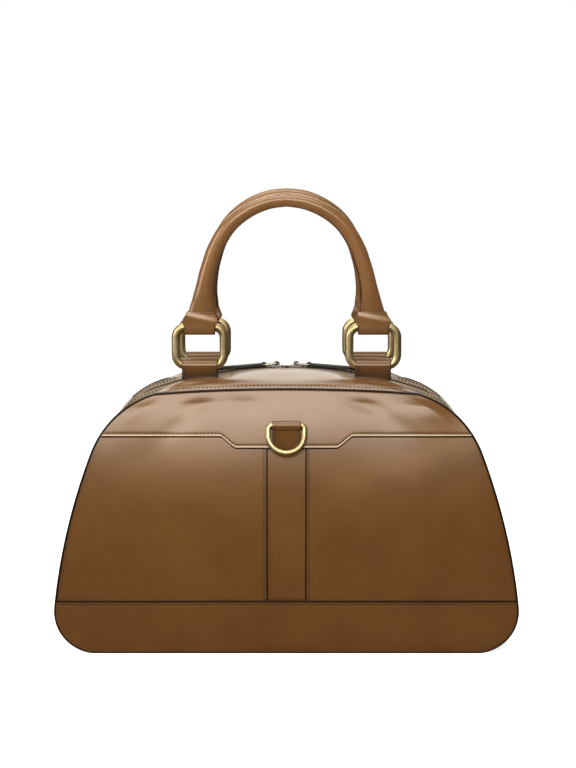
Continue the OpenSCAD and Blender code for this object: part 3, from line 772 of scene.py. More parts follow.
def wall_sheet(name, side, low_edge, high_edge, left_edge, right_edge, level, cut="", rubbed=0.0,
               thick=leather_t):
    """A piece of leather between four edges, one of which may be a bold cut edge with a seam, whose
    wide dark band is partly a painted shadow.

    Its columns follow the sides, and its rows the ends. A pale painted highlight may run along the
    low edge, by a share from 0 to 1.
    """
    heights, corner = face_side(-piping_in)
    low = high = 0.0
    # The right edge leans, so where it meets the low and high edges is found in a few rounds.
    for _ in range(6):
        low = float(low_edge(right_edge(low)))
        high = float(high_edge(right_edge(min(high, float(corner[1])) if high else 100.0)))
    rows = heights[:, 1]
    rows = rows[(rows > low + ease_end) & (rows < high - ease_end)]
    rows = np.unique(np.round(np.concatenate([low + ease, rows, high - ease]), 3))
    rows = rows[np.concatenate([[True], np.diff(rows) > least_row])]
    v = (rows - low) / (high - low)
    v[-1] = 1.0
    span = float(right_edge(low) - left_edge(low))
    u = spread(0, span, sheet_step) / span
    z = np.repeat((low + v * (high - low))[:, None], len(u), 1)
    # Each edge may slope, so the columns and rows are fitted to all four in turn.
    for _ in range(8):
        left, right = left_edge(z), right_edge(z)
        x = left + u * (right - left)
        z = low_edge(x) + v[:, None] * (high_edge(x) - low_edge(x))
    gaps = np.maximum([z - low_edge(x), high_edge(x) - z, x - left, right - x], 0)
    distance = gaps.min(axis=0)
    widths = np.where([edge == cut for edge in wall_edges], edge_and_shadow_line, plain_line)[:, None, None]
    grooves = np.exp(-((gaps - stitch_inset) / groove_half) ** 2) * (widths > plain_line)
    sunk = rounded(distance) + groove_depth * grooves.max(axis=0)
    rise = thick(z) if callable(thick) else thick
    outer = wall_points(x, z, level + rise - sunk, side)
    inner = wall_points(x, z, level, side)
    # Dark paint at the cut edges; on a bold cut edge it is partly a painted shadow.
    paint = np.clip((widths + paint_fade / 2 - gaps) / paint_fade, 0, 1).max(axis=0)
    wear = edge_wear * np.exp(-distance / wear_reach)
    # A pale painted highlight along the low edge.
    rub = rubbed * np.exp(-((gaps[0] - rub_inset) / rub_half) ** 2)
    return thick_grid(name, outer, inner, calf, paint=paint, wear=wear, rub=rub)


def leather_pieces(side, pieces):
    """Makes the pieces of one wall, each from its edges, its level and its cut edge."""
    for node, parts in pieces.items():
        settle(wall_sheet(f"{node}_leather", side, *parts), "bag", "calf_leather", node)


def constant(value):
    """An edge that stays at one value."""
    return lambda along: value + 0.0 * np.asarray(along)


# The four edges of a face, which lie under the painted edge.
def face_right(z):
    return half_width(z, -piping_in)


def face_left(z):
    return -half_width(z, -piping_in)


def face_top(x):
    return edge_top(x, -piping_in)


face_bottom = constant(piping_in)

# %% The front's five pieces
strip_half = 15.0
strip_lap = 4.0
band_h = 43.5
yoke_side_z = 173.0
yoke_mid_z = 164.0
yoke_mid_half = 41.0
yoke_slant_half = 52.0


def yoke_edge(x):
    """The yoke's lower edge: a step down in the middle with short slants."""
    return np.interp(np.abs(x), [yoke_mid_half, yoke_slant_half], [yoke_mid_z, yoke_side_z])


leather_pieces(FRONT, {
    "front_centre_strip": (face_bottom, face_top, constant(-strip_half - strip_lap),
                           constant(strip_half + strip_lap), -leather_t),
    "front_panel_right": (face_bottom, face_top, constant(strip_half), face_right, 0.0, "left"),
    "front_panel_left": (face_bottom, face_top, face_left, constant(-strip_half), 0.0, "right"),
    "front_yoke": (yoke_edge, face_top, face_left, face_right, leather_t, "low", yoke_rub),
    "front_base_band": (face_bottom, constant(band_h), face_left, face_right, leather_t, "high")})

# %% Stitches on the front


def along(low, high, step=2.5):
    """Evenly spaced places from low to high."""
    return np.linspace(low, high, max(3, round((high - low) / step)))


def wall_line(x, z, level, side):
    """A stitch line on a wall, sunk a little into the leather."""
    x, z = np.broadcast_arrays(x, z)
    return wall_points(x, z, level - stitch_sink, side)


def yoke_and_band_lines(side, lower_edge):
    """Stitches above the yoke's edge and below the band's top edge."""
    reach = half_width(yoke_side_z, -piping_in) - 2
    x = along(-reach, reach)
    lines = [wall_line(x, lower_edge(x) + stitch_inset, skin_out, side)]
    reach = half_width(band_h, -piping_in) - 2
    x = along(-reach, reach)
    lines.append(wall_line(x, band_h - stitch_inset, skin_out, side))
    return lines


front_lines = yoke_and_band_lines(FRONT, yoke_edge)
for end in (-1, 1):
    z = along(band_h + 1.5, yoke_mid_z - 1)
    front_lines.append(wall_line(end * (strip_half + stitch_inset), z, leather_t, FRONT))
settle(sew("front_stitches", front_lines), "bag", "calf_leather")

# %% [markdown]
# ## The rear
# The back is plainer: one large panel, a yoke with a straight edge and the same base band. The
# functions that made the front make it again with the other side's sign.

# %% The rear's three pieces
straight_edge = constant(yoke_side_z)
leather_pieces(REAR, {
    "rear_panel": (face_bottom, face_top, face_left, face_right, 0.0),
    "rear_yoke": (straight_edge, face_top, face_left, face_right, leather_t, "low", yoke_rub),
    "rear_base_band": (face_bottom, constant(band_h), face_left, face_right, leather_t, "high")})
settle(sew("rear_stitches", yoke_and_band_lines(REAR, straight_edge)), "bag", "calf_leather")

# %% [markdown]
# ## The painted edge
# Every layer of a wall ends at one edge, which is trimmed, sanded and painted until it looks
# like a single dark cord. It is a rounded bar swept round the face, fuller than it is wide.

# %% Edges round the faces
piping_half = (piping_proud + piping_in) / 2
piping_mid = piping_proud - piping_half
piping_low = -backing_t
piping_high = skin_out + 0.35
edge_step = 1.7
floor_gap = 0.05


def superellipse(angles, wide, high, power):
    """A rounded box's section as offsets across and up."""
    c, s = np.cos(angles), np.sin(angles)
    return (wide * np.sign(c) * np.abs(c) ** (2 / power),
            high * np.sign(s) * np.abs(s) ** (2 / power))


def closed_face(level):
    """A face's whole edge as a closed line of evenly spaced points."""
    right = face_side(level)[0]
    line = np.concatenate([right, right[-2::-1] * [-1, 1]])
    line = np.concatenate([line, line[:1]])
    lengths = lengths_along(line)
    places = np.linspace(0, lengths[-1], round(lengths[-1] / edge_step) + 1)[:-1]
    return np.stack([np.interp(places, lengths, line[:, i]) for i in (0, 1)], 1)


def painted_edge(name, side):
    """The rounded bar of edge paint round one face, with a slight wave in its thickness."""
    line = closed_face(piping_mid)
    tangent = np.roll(line, -1, 0) - np.roll(line, 1, 0)
    normal = np.stack([tangent[:, 1], -tangent[:, 0]], 1) / np.linalg.norm(tangent, axis=1)[:, None]
    across, up = superellipse(full_turn(14), piping_half, (piping_high - piping_low) / 2, 2.6)
    wave = 0.12 * np.sin(np.arange(len(line)) / 5.1) + 0.08 * np.sin(np.arange(len(line)) / 2.3)
    x = line[:, :1] + normal[:, :1] * across
    z = line[:, 1:] + normal[:, 1:] * across
    level = (piping_high + piping_low) / 2 + up[None, :] * (1 + 0.04 * wave[:, None])
    y = side * wall_depth(z, level)
    return tube(name, xyz(x, y, np.maximum(z, floor_gap)), edge_paint, closed=True)


for side, word in walls:
    settle(painted_edge(f"{word}_painted_edge", side), "bag", "painted_edge", f"{word}_piping")

# %% [markdown]
# ## Gussets and base
# The sides are canvas, sewn between the walls from the base band up to the ends of the mouth.
# Canvas has no board behind it, so it puffs out beside the seams high up, is drawn in between
# them and puckers a little. The base is calf, and turns up at both ends under the canvas.

# %% Sheets that run round the outline
gusset_t = 1.6
mouth_half = 118.0
shoulder_x = 133.0
canvas_t = 0.6 * gusset_t
cloth_step = 2.2
tuck_l = 4.0
tuck_low = 1.2
tuck_high = 1.5


def gusset_relief(z, across):
    """How far the canvas stands out, for a height and a place from -1 at the front to 1."""
    high = ramp(z - 60, 110)
    puff = 1.2 * high * (np.abs(across) ** 1.2) * (1 - np.abs(across) ** 9)
    free = ramp(z - band_h, 45) * ramp(200 - z, 30)
    drawn = -4.2 * (1 - across ** 2) ** 1.5 * free
    pucker = 0.35 * np.sin(z / 4.3 + 2.5 * np.sin(across * 2.2))
    pucker = pucker * np.abs(across) ** 3 * (1 - across ** 8) * ramp(z - band_h, 20)
    return puff + drawn + pucker


def outline_sheet(name, line, low_level, material, relief, tuck=None):
    """A sheet between the two walls, along a line of the outline."""
    lengths = lengths_along(line)
    places = spread(0, lengths[-1], cloth_step)
    x = np.interp(places, lengths, line[:, 0])
    z = np.interp(places, lengths, line[:, 1])
    tangent = np.stack([np.gradient(x, places), np.gradient(z, places)], 1)
    tangent /= np.linalg.norm(tangent, axis=1)[:, None]
    normal = np.stack([tangent[:, 1], -tangent[:, 0]], 1)
    across = np.linspace(-1, 1, 61)
    lift = relief(z[:, None], across[None, :]) + (tuck(places)[:, None] if tuck else 0)
    grids = []
    for drop in (0.0, low_level):
        px = x[:, None] + normal[:, :1] * (lift + drop)
        pz = np.maximum(z[:, None] + normal[:, 1:] * (lift + drop), floor_gap - drop)
        grids.append(xyz(px, across[None, :] * wall_depth(z, -backing_t)[:, None], pz))
    cloth = xyz(places[:, None], across[None, :] * body_d / 2, 0.0)
    return thick_grid(name, *grids, material, cloth=cloth)


side_line = right_side(0.0)
above = side_line[(side_line[:, 1] > band_h) & (side_line[:, 0] > shoulder_x - 1.5)]
below = side_line[side_line[:, 1] <= band_h + 1.6]


def tucked(length):
    """The canvas goes under the leather at both ends."""
    return lambda places: (-tuck_low * np.clip(1 - places / tuck_l, 0, 1)
                           - tuck_high * np.clip(1 - (length - places) / tuck_l, 0, 1))


steps = np.linalg.norm(np.diff(above, axis=0), axis=1)
gusset_length = float(steps.sum())
for mirror, which in ends:
    gusset = outline_sheet(f"gusset_canvas_{which}", above * [mirror, 1], -canvas_t * mirror,
                           canvas, lambda z, across: mirror * gusset_relief(z, across),
                           lambda places: mirror * tucked(gusset_length)(places))
    settle(gusset, "bag", "canvas", f"gusset_{which}")
base_line = np.concatenate([below[::-1] * [-1, 1], below[1:]])
base = outline_sheet("base_leather", base_line, -gusset_t, calf,
                     lambda z, across: 0 * z * across)
settle(base, "bag", "calf_leather", "base_panel")

# %% [markdown]
# ## Inside
# The lining is a loose bag of twill that hangs from the mouth. Its loops of points follow the
# walls and the outline a little further in, with rounded corners where the cloth turns. The
# stiff boards are the frame's own, since their shape is right, and get a pressed-fibre finish.

# %% Lining and boards
lining_t = 0.8
lining_h = 194.0
lining_gap = 0.3
lining_count = 160
lining_power = 12.5
lining_turn = 0.01
lining_flat_z = 10.0


def lining_loop(z, inset):
    """A rounded box round the inside of the bag at a height."""
    wide = half_width(z, -gusset_t) - inset
    deep = wall_depth(z, -backing_t) - inset
    angles = full_turn(lining_count) + lining_turn
    x, y = superellipse(angles, wide, deep, lining_power)
    drawn = 4.8 * np.clip(1 - (y / deep) ** 2, 0, 1) ** 1.5 * ramp(z - 30, 45)
    x = x * (1 - drawn / wide)
    ripple = 0.35 * np.sin(angles * 17 + z / 19) * ramp(z - 10, 40)
    return xyz(x * (1 - np.abs(ripple) / wide), y * (1 - np.abs(ripple) / deep), z)


lining_heights = np.concatenate([[2.0, 2.3, 3.0, 4.5, 7.0], np.linspace(10, lining_h, 60)])
shrink = np.array([0.02, 0.25, 0.5, 0.75, 0.9])
bottom = lining_loop(lining_heights[0], lining_gap)
rings_out = [bottom * [s, s, 1] for s in shrink]
rings_in = [ring + [0, 0, lining_t] for ring in rings_out]
for z in lining_heights:
    rings_out.append(lining_loop(z, lining_gap))
    raised = [0, 0, lining_t * (z < lining_flat_z)]
    rings_in.append(lining_loop(z, lining_gap + lining_t) + raised)
outer = np.stack(rings_out)
inner = np.stack(rings_in)
run = lengths_along(outer[:, 0])
turn = np.cumsum(np.linalg.norm(np.diff(outer[-1], axis=0, append=outer[-1][:1]), axis=1))
cloth = xyz(run[:, None], turn[None, :], 0.0)
lining = thick_grid("lining_cloth", outer, inner, lining_cloth, loop=True, cloth=cloth)
settle(lining, "bag", "lining_cloth", "lining")


def refinish(node, material):
    """Gives one of the frame's own nodes a finish."""
    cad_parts[node].data.materials.clear()
    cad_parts[node].data.materials.append(material)


for node in ("front_backing", "rear_backing", "base_board"):
    refinish(node, board)

# %% [markdown]
# ## The roof
# Two panels close the top on each side of the zip. Each runs from the folded edge beside the teeth,
# over the top, and turns down inside its wall. When the mouth opens the panels swing out with the
# handles, but their ends stay sewn to the gussets, so each panel is made in two halves.

# %% Roof panels
roof_t = 1.6
roof_corner_r = 2.2
skirt_l = 5.5
slot_half = 5.6
roof_level = -backing_t - 0.4
panel_end = shoulder_x + 1.0
slot_shut = 6.0
roof_stitch_inset = 2.6
roof_stitch_rise = 0.05
rim_rise = 2.1
# Only this many points from the profile's foot upwards are searched, where heights only rise.
rim_points = 22


def roof_z(x, y):
    """The roof's height: the crown's arch and the roof's own curve, eased into each other."""
    arch = crown_z(x)
    curve = body_h - roof_r + np.sqrt(roof_r ** 2 - np.asarray(y) ** 2)
    k = np.clip(1.1 * (body_h - arch), 0.8, 8)
    mix = np.maximum(k - np.abs(arch - curve), 0)
    return np.minimum(arch, curve) - mix ** 2 / (4 * k)


def surface_z(x, y):
    """The roof's height with its dips and swellings."""
    return roof_z(x, y) + roof_relief(x, y)


def roof_relief(x, y):
    """Shallow dips between the seams, and a swelling at each shoulder beside the front seam."""
    across = np.abs(y)
    dip = -0.9 * bump_at(x, across, 0, 32, 36, 14)
    dip = dip - 0.5 * bump_at(np.abs(x), across, 104, 34, 10, 14)
    swell = 3.4 * bump_at(np.abs(x), across, 78, 41.5, 24, 5.5) * ramp(50 - across, 3)
    return dip + swell + 0.12 * np.sin(x / 9.0) * ramp(across - 30, 15)


def seam_height(x):
    """The height of the seam between the roof and a wall."""
    return np.minimum(edge_top(x, 0), crown_z(x) - 2)


def roof_profile(x):
    """Places across the roof and down inside the wall, as distance and height."""
    # The wall's depth depends on the height where the roof meets it, so both are found in turn.
    depth = np.full_like(x, 52.0)
    for _ in range(6):
        depth = wall_depth(roof_z(x, depth), roof_level)
    share = np.concatenate([[0, 0.004, 0.012, 0.03], np.linspace(0.06, 1, 26)])
    slot = slot_half * np.clip(1 - (x - mouth_half) / slot_shut, 0.02, 1)[:, None]
    y = slot + share[None, :] * (depth[:, None] - roof_corner_r - slot)
    z = surface_z(x[:, None], y) - rounded(y - slot, 0.9) * (slot > 1)
    turn = np.linspace(0, math.pi / 2, 6)[1:]
    edge_y = y[:, -1:] + roof_corner_r * np.sin(turn)
    edge_z = z[:, -1:] - roof_corner_r * (1 - np.cos(turn))
    foot = seam_height(x) - skirt_l
    down = np.linspace(0, 1, 6)[1:]
    skirt_z = edge_z[:, -1:] + down * (foot[:, None] - edge_z[:, -1:])
    skirt_y = edge_y[:, -1:] + wall_depth(skirt_z, roof_level) - wall_depth(
        edge_z[:, -1:], roof_level)
    return np.concatenate([y, edge_y, skirt_y], 1), np.concatenate([z, edge_z, skirt_z], 1)


def roof_half(name, side, end):
    """One half of a roof panel, from the middle of the bag out to one end of the mouth."""
    x = np.concatenate([np.linspace(0, panel_end - ease_end, 56), panel_end - ease[::-1]])
    y, z = roof_profile(x)
    dy, dz = np.gradient(y, axis=1), np.gradient(z, axis=1)
    size = np.hypot(dy, dz)
    drop = rounded(panel_end - x, 0.8)[:, None]
    outer = xyz(end * x[:, None], side * y, z - drop)
    inner = xyz(end * x[:, None], side * (y + roof_t * dz / size), z - roof_t * dy / size)
    inner[..., 2] = np.minimum(inner[..., 2], outer[..., 2] - 0.2 * (np.abs(dy) > np.abs(dz)))
    slot_edge = slot_half * np.where(x[:, None] < mouth_half, 1, -1)
    gap = np.minimum(panel_end - x[:, None], y - slot_edge)
    return thick_grid(name, outer, inner, calf, **edge_marks(gap, paint_fade, 0.35))


def bend(piece, word, end, slot, *nodes):
    """Bakes a piece's place into its points and hides the frame nodes it replaces."""
    roof = f"{word}_roof"
    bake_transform(piece)
    if nodes:
        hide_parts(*nodes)
    print(piece.name, "bends between bag and", roof)


def roof_line(x, depth, side, end):
    """A stitch line along the roof at a distance from the zip."""
    return xyz(end * x, side * depth, surface_z(x, depth) + roof_stitch_rise)


def rim_line(x, side, end):
    """A stitch line on a roof panel's rounded outer edge, just above the painted edge."""
    y, z = roof_profile(x)
    target = seam_height(x) + rim_rise
    depth = [np.interp(goal, heights[:-rim_points:-1], depths[:-rim_points:-1])
             for goal, heights, depths in zip(target, z, y)]
    return xyz(end * x, side * (np.array(depth) + 0.1), target)


for side, word, end, which in quarters:
    half = roof_half(f"roof_leather_{word}_{which}", side, end)
    bend(half, word, end, "calf_leather", f"roof_panel_{word}")
    x = np.linspace(0.8, panel_end - 3, 60)
    near = x[x < mouth_half]
    rows = sew(f"roof_stitches_{word}_{which}", [
        roof_line(near, slot_half + roof_stitch_inset, side, end), rim_line(x, side, end)])
    bend(rows, word, end, "calf_leather")

# %% [markdown]
# ## The zip
# Two cloth tapes hang just under the roof's edges. Each carries a row of metal teeth that grip
# between the teeth of the other row. A tooth is a root, a neck and a wider head, and Geometry
# Nodes puts it along the arch at the tooth pitch, half a pitch further on for the rear row.

# %% Tapes, beads and teeth
tape_half_gap = 2.6
tape_w = 15.0
tape_t = 0.6
tape_under = roof_t + 0.1
tooth_pitch = 3.2
tooth_t = 1.25
tooth_h = 2.2
tooth_reach = 0.5
tooth_level = -1.9
neck_share = 0.31
head_share = 0.45
tooth_from = 13.5
tooth_to = 115.0
row_shift = {FRONT: 0.25, REAR: 0.75}


def tape_half(name, side, end):
    """Half of one tape, from the middle of the zip to one end."""
    x = spread(0, mouth_half - 0.8, 3)
    depth = spread(tape_half_gap, tape_half_gap + tape_w, 1.5)
    z = surface_z(x[:, None], depth[None, :]) - tape_under
    px, py = end * x[:, None], side * depth[None, :]
    return thick_grid(name, xyz(px, py, z), xyz(px, py, z - tape_t), tape_cloth,
                      cloth=xyz(px, py, 0.0))


def bead_half(name, side, end):
    """The thick woven edge of the tape that the teeth are clamped on."""
    x = np.linspace(0, tooth_to, 60)
    across, up = superellipse(full_turn(8), 0.5, 0.8, 2)
    z = roof_z(x, 0)[:, None] + tooth_level + up[None, :]
    y = side * (tape_half_gap - 0.2) + across[None, :]
    return tube(name, xyz(end * x[:, None], y, z), tape_cloth)


def tooth_object(side):
    """One tooth as a small mesh in metres, from its root at the tape to its head and tip."""
    half, neck, head_y = tooth_t / 2, tooth_t * neck_share, -tape_half_gap * head_share
    shape = [(-half, -tape_half_gap), (half, -tape_half_gap), (neck, head_y), (half, 0),
             (neck, tooth_reach), (-neck, tooth_reach), (-half, 0), (-neck, head_y)]
    work = bmesh.new()
    rim = [work.verts.new((x * MM, -side * y * MM, -tooth_h / 2 * MM)) for x, y in shape]
    face = work.faces.new(rim)
    top = bmesh.ops.extrude_face_region(work, geom=[face])["geom"]
    lifted = [v for v in top if isinstance(v, bmesh.types.BMVert)]
    bmesh.ops.translate(work, verts=lifted, vec=(0, 0, tooth_h * MM))
    bmesh.ops.recalc_face_normals(work, faces=work.faces)
    mesh = bpy.data.meshes.new("tooth")
    work.to_mesh(mesh)
    work.free()
    return bpy.data.objects.new("tooth", mesh)


teeth_tree, given, out = geometry_tree("zip_teeth", {
    "Float": ["Pitch"], "Object": ["Tooth"], "Material": ["Finish"]})
model = add(teeth_tree, "GeometryNodeObjectInfo", {"Object": given["Tooth"]})
end_with_copies(teeth_tree, out, steps_along(teeth_tree, given), model.outputs["Geometry"],
                given["Finish"], smooth=False)

for side, word, end, which in quarters:
    label = f"{word}_{which}"
    bend(tape_half(f"zip_tape_{label}", side, end), word, end, "zip_tape", f"zip_tape_{word}")
    bend(bead_half(f"zip_bead_{label}", side, end), word, end, "zip_tape")
    x = np.sort(end * np.linspace(tooth_from + row_shift[side] * tooth_pitch, tooth_to, 80))
    tooth = tooth_object(side)
    arch = line_object([xyz(x, 0.0, roof_z(x, 0) + tooth_level)])
    values = {"Pitch": tooth_pitch * MM, "Tooth": tooth, "Finish": nickel}
    teeth = grown(f"zip_teeth_{label}", arch, teeth_tree, values)
    bpy.data.objects.remove(tooth)
    bend(teeth, word, end, "dark_metal", f"zip_teeth_{word}")

# %% [markdown]
# ## Sliders and pulls
# The sliders are die-cast, so the frame's shapes are right and only their edges are too sharp.
# A copy of the node is merged and bevelled. The pulls are narrow tabs of darker calf, folded
# round a wire link, with a line of stitches inside each long edge.

# %% Sliders, links and pulls
slider_x = 8.0
slider_plate_top = 0.9
link_wire = 1.7
link_lift = 0.6
link_l = 11.0
pull_l = 40.0
pull_w = 9.0
pull_t = 2.4
pull_stitch_inset = 1.3
pull_droop = math.radians(3.5)
slider_angle = math.asin(slider_x / crown_r)
link_z = slider_plate_top + link_wire / 2 + link_lift


def softened_copy(name, node, width, material):
    """A copy of a frame node with merged points and bevelled edges."""
    work = bmesh.new()
    work.from_mesh(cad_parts[node].data)
    bmesh.ops.remove_doubles(work, verts=work.verts, dist=0.01 * MM)
    bmesh.ops.dissolve_limit(work, angle_limit=math.radians(2), verts=work.verts, edges=work.edges)
    mesh = bpy.data.meshes.new(name)
    work.to_mesh(mesh)
    work.free()
    source = in_scene(name, mesh)
    bevel = source.modifiers.new("bevel", "BEVEL")
    bevel.width = width * MM
    bevel.segments = 3
    bevel.limit_method = "ANGLE"
    bevel.angle_limit = math.radians(35)
    piece = baked(name, source)
    piece.data.shade_smooth()
    piece.data.set_sharp_from_angle(angle=math.radians(50))
    piece.data.materials.clear()
    piece.data.materials.append(material)
    return piece


def turned_y(points, angle):
    """Points turned about the Y axis."""
    c, s = math.cos(angle), math.sin(angle)
    x, y, z = np.moveaxis(points, -1, 0)
    return xyz(x * c + z * s, y, -x * s + z * c)


def on_bridge(points, end):
    """Points of a pull, from its pivot outwards, in their place on the arch."""
    lifted = turned_y(points, pull_droop) + [0, 0, crown_r + link_z]
    return (turned_y(lifted, slider_angle) + [0, 0, crown_c[1]]) * [end, 1, 1]


for end, which in ends:
    settle(softened_copy(f"slider_{which}", f"zip_slider_{which}", 0.25, silver),
           f"{which}_slider", "dark_metal", f"zip_slider_{which}")
    settle(softened_copy(f"pull_leather_{which}", f"pull_tab_{which}", 0.45, pull_calf),
           f"{which}_pull", "dark_leather", f"pull_tab_{which}")
    refinish(f"pull_link_{which}", silver)
    x = np.linspace(link_l + 4, link_l + pull_l - pull_w / 2, 20)
    rows = [on_bridge(xyz(x, way * (pull_w / 2 - pull_stitch_inset), pull_t / 2 + 0.02), end)
            for way in (-1, 1)]
    settle(sew(f"pull_stitches_{which}", rows, dark_thread, 2.2, 1.7, 0.5),
           f"{which}_pull", "dark_leather")

# %% [markdown]
# ## Rings
# A ring is drawn wire, bent to a rounded rectangle and brazed shut. In Geometry Nodes that is
# a rectangle with filleted corners, swept with a circle, and put at each ring's place.

# %% The ring tree
ring_x = 70.5
ring_y = 30.0
ring_w = 46.0
ring_h = 39.0
ring_wire = 7.0
ring_corner_r = 9.0
ring_bar_z = 226.5
ring_rise = ring_h - ring_wire
ring_mid_z = ring_bar_z + ring_rise / 2

ring_tree, given, out = geometry_tree("wire_rings", {
    "Float": ["Width", "Height", "Wire radius", "Corner radius"], "Material": ["Finish"]})
box_curve = add(ring_tree, "GeometryNodeCurvePrimitiveQuadrilateral", {
    "Width": given["Width"], "Height": given["Height"]}, mode="RECTANGLE")
filleted = add(ring_tree, "GeometryNodeFilletCurve", {
    "Curve": box_curve.outputs[0], "Radius": given["Corner radius"], "Count": 10}, mode="POLY")
wire = add(ring_tree, "GeometryNodeCurvePrimitiveCircle", {
    "Resolution": 24, "Radius": given["Wire radius"]})
swept = add(ring_tree, "GeometryNodeCurveToMesh", {
    "Curve": filleted.outputs[0], "Profile Curve": wire.outputs[0]})
upright = add(ring_tree, "GeometryNodeTransform", {
    "Geometry": swept.outputs[0], "Rotation": (math.pi / 2, 0, 0)})
end_with_copies(ring_tree, out, {"Points": given["Geometry"]}, upright.outputs[0], given["Finish"])

for side, word in walls:
    centres = [[-ring_x, side * ring_y, ring_mid_z], [ring_x, side * ring_y, ring_mid_z]]
    rings = grown(f"{word}_brass_rings", line_object([centres]), ring_tree, {
        "Width": (ring_w - ring_wire) * MM, "Height": ring_rise * MM,
        "Wire radius": ring_wire / 2 * MM, "Corner radius": ring_corner_r * MM, "Finish": brass})
    settle(rings, f"{word}_rings", "antique_brass", f"ring_{word}_left", f"ring_{word}_right")

# %% [markdown]
# ## Handle bases
# A base is a strip of calf folded over a ring's lower bar and sewn down through the roof. The
# fold is a U of even thickness whose legs end where the roof is under them, and the pressed
# layers between the legs are one block.

# %% Folded bases
fold_t = 2.2
fold_r = 6.0
fold_w = 28.8
fold_mid = fold_r - fold_t / 2
leg_l = 14.0
leg_stitch_inset = 2.2
leg_sink = 0.8
fold_round = 0.7
grid_half = 14.0
grid_step = 1.4
block_sides = 40


def fold_sheet(name, path, normals, half_widths, thickness, place, material=calf, relief=None,
               painted_shade=0.0):
    """A strip of leather along a path across the bag, with rounded long edges and any painted shade
    that is given.
    """
    share = spread(-grid_half, grid_half, grid_step) / grid_half
    x = half_widths[:, None] * share[None, :]
    gap = half_widths[:, None] - np.abs(x)
    body = thickness[:, None] / 2 - rounded(gap, fold_round) * 0.6
    crest = relief(x, path) if relief else 0 * x
    grids = []
    for way in (1, -1):
        lift = way * body + (crest if way > 0 else 0)
        y = path[:, :1] + normals[:, :1] * lift
        z = path[:, 1:2] + normals[:, 1:2] * lift
        grids.append(place(xyz(x, y, z)))
    return thick_grid(name, *grids, material, **edge_marks(gap, 0.4, 0.4, 2.5, painted_shade))


def path_normals(path):
    """Directions to the left of a flat path."""
    step = np.gradient(path, axis=0)
    step /= np.linalg.norm(step, axis=1)[:, None]
    return np.stack([-step[:, 1], step[:, 0]], 1)


def fold_path(legs, turn, lean=0.0, loose=1.0):
    """A U-shaped path: up or down one leg, round the bend and along the other leg."""
    return np.concatenate([
        np.stack([-fold_mid - lean + 0 * legs, legs], 1),
        np.stack([fold_mid * np.cos(turn), loose * fold_mid * np.sin(turn)], 1),
        np.stack([fold_mid + lean + 0 * legs, legs], 1)[::-1]])


def onto_roof(side, end):
    """Puts points at a ring's lower bar, with legs that end where the roof is under them."""
    def place(points):
        x = end * (ring_x + points[..., 0])
        y = side * (ring_y + points[..., 1])
        above = points[..., 2]
        low = surface_z(x, y) - leg_sink
        share = ramp(-above, leg_l)
        return xyz(x, y, ring_bar_z + np.where(above < 0, -share * (ring_bar_z - low), above))
    return place


def base_pieces(label, place):
    """The folded strip, the pressed layers in it and its stitches."""
    path = fold_path(np.linspace(-leg_l, -0.5, 12), np.linspace(math.pi, 0, 24))
    whole = np.ones(len(path))
    # The legs are painted darker towards the roof: this is painted shade.
    fold = fold_sheet(f"base_fold_{label}", path, path_normals(path), fold_w / 2 * whole,
                      fold_t * whole, place, painted_shade=0.9 * ramp(-path[:, 1:], 10))
    levels = np.linspace(-leg_l, -4.1, 8)
    across, deep = superellipse(full_turn(block_sides), fold_w / 2 - 0.5,
                                fold_mid - fold_t / 2 + 0.05, 8)
    block = tube(f"base_layers_{label}", place(xyz(across, deep, levels[:, None])), calf,
                 paint=np.ones((len(levels), block_sides)))
    drop = np.linspace(-13.0, -1.0, 8)
    rows = [place(xyz(way * (fold_w / 2 - leg_stitch_inset), leg * fold_r, drop))
            for way in (-1, 1) for leg in (-1, 1)]
    return fold, block, sew(f"base_stitches_{label}", rows, thread, 2.8, 2.2, 0.7)


for side, word, end, which in quarters:
    fold, block, rows = base_pieces(f"{word}_{which}", onto_roof(side, end))
    settle(fold, f"{word}_roof", "calf_leather", f"handle_base_{word}_{which}")
    settle(block, f"{word}_roof", "calf_leather")
    settle(rows, f"{word}_roof", "calf_leather")

# %% [markdown]
# ## Handles
# Each handle is a sleeve of calf rolled round a cotton rope and closed by a seam on its inner
# side. Its ends are left flat, and each is held in a tab that folds round a ring's upper bar.
# The sleeve is one tube whose section changes from a flat oval to a round roll.

# %% Sleeves and ropes
handle_bar_z = ring_bar_z + ring_rise
handle_end_z = handle_bar_z + fold_r + 0.3
seam_z = 271.0
handle_tops = {FRONT: 360.3, REAR: 366.1}
handle_end_half = 10.9
handle_flat_half = 3.7
handle_leg_r = 6.6
handle_roll_r = 5.0
sleeve_t = 1.3
# Half the handle's arch as shares of its half width and its rise, from a ring to the top.
handle_shares = np.array([
    [0.985, 0], [0.968, 0.09], [0.955, 0.19], [0.933, 0.29], [0.909, 0.385], [0.871, 0.485],
    [0.820, 0.59], [0.715, 0.73], [0.590, 0.835], [0.411, 0.925], [0.205, 0.982], [0, 1]])
# How flat the sleeve is at each of these places.
flat_shares = np.array([[1], [0.88], [0.42], [0.16], [0.05], [0.01], [0], [0], [0], [0], [0], [0]])
# The seam winds from one place on the section to another, as angles in radians.
seam_right = -2.55
seam_left = -3.7
section_count = 48
rope_count = 20
rope_gap = 0.3
rope_trim = 27
seam_trim = 14
seam_stitch_turn = 0.3


def smooth_line(points, steps):
    """A smooth line through points, with steps between each two."""
    padded = np.concatenate([points[:1], points, points[-1:]])
    t = np.linspace(0, 1, steps, endpoint=False)[:, None]
    pieces = []
    for i in range(len(points) - 1):
        a, b, c, d = padded[i:i + 4]
        pieces.append((2 * b + (c - a) * t + (2 * a - 5 * b + 4 * c - d) * t ** 2
                       + (3 * b - a - 3 * c + d) * t ** 3) / 2)
    return np.concatenate(pieces + [points[-1:]])


def both_halves(half):
    """A line that goes on to the other side of the bag as its mirror image."""
    other = half[-2::-1].copy()
    if other.shape[1] > 1:
        other[:, 0] *= -1
    return np.concatenate([half, other])


flat = np.clip(both_halves(smooth_line(flat_shares, 9))[:, 0], 0, 1)
seam_angle = np.linspace(seam_right, seam_left, len(flat))[:, None]


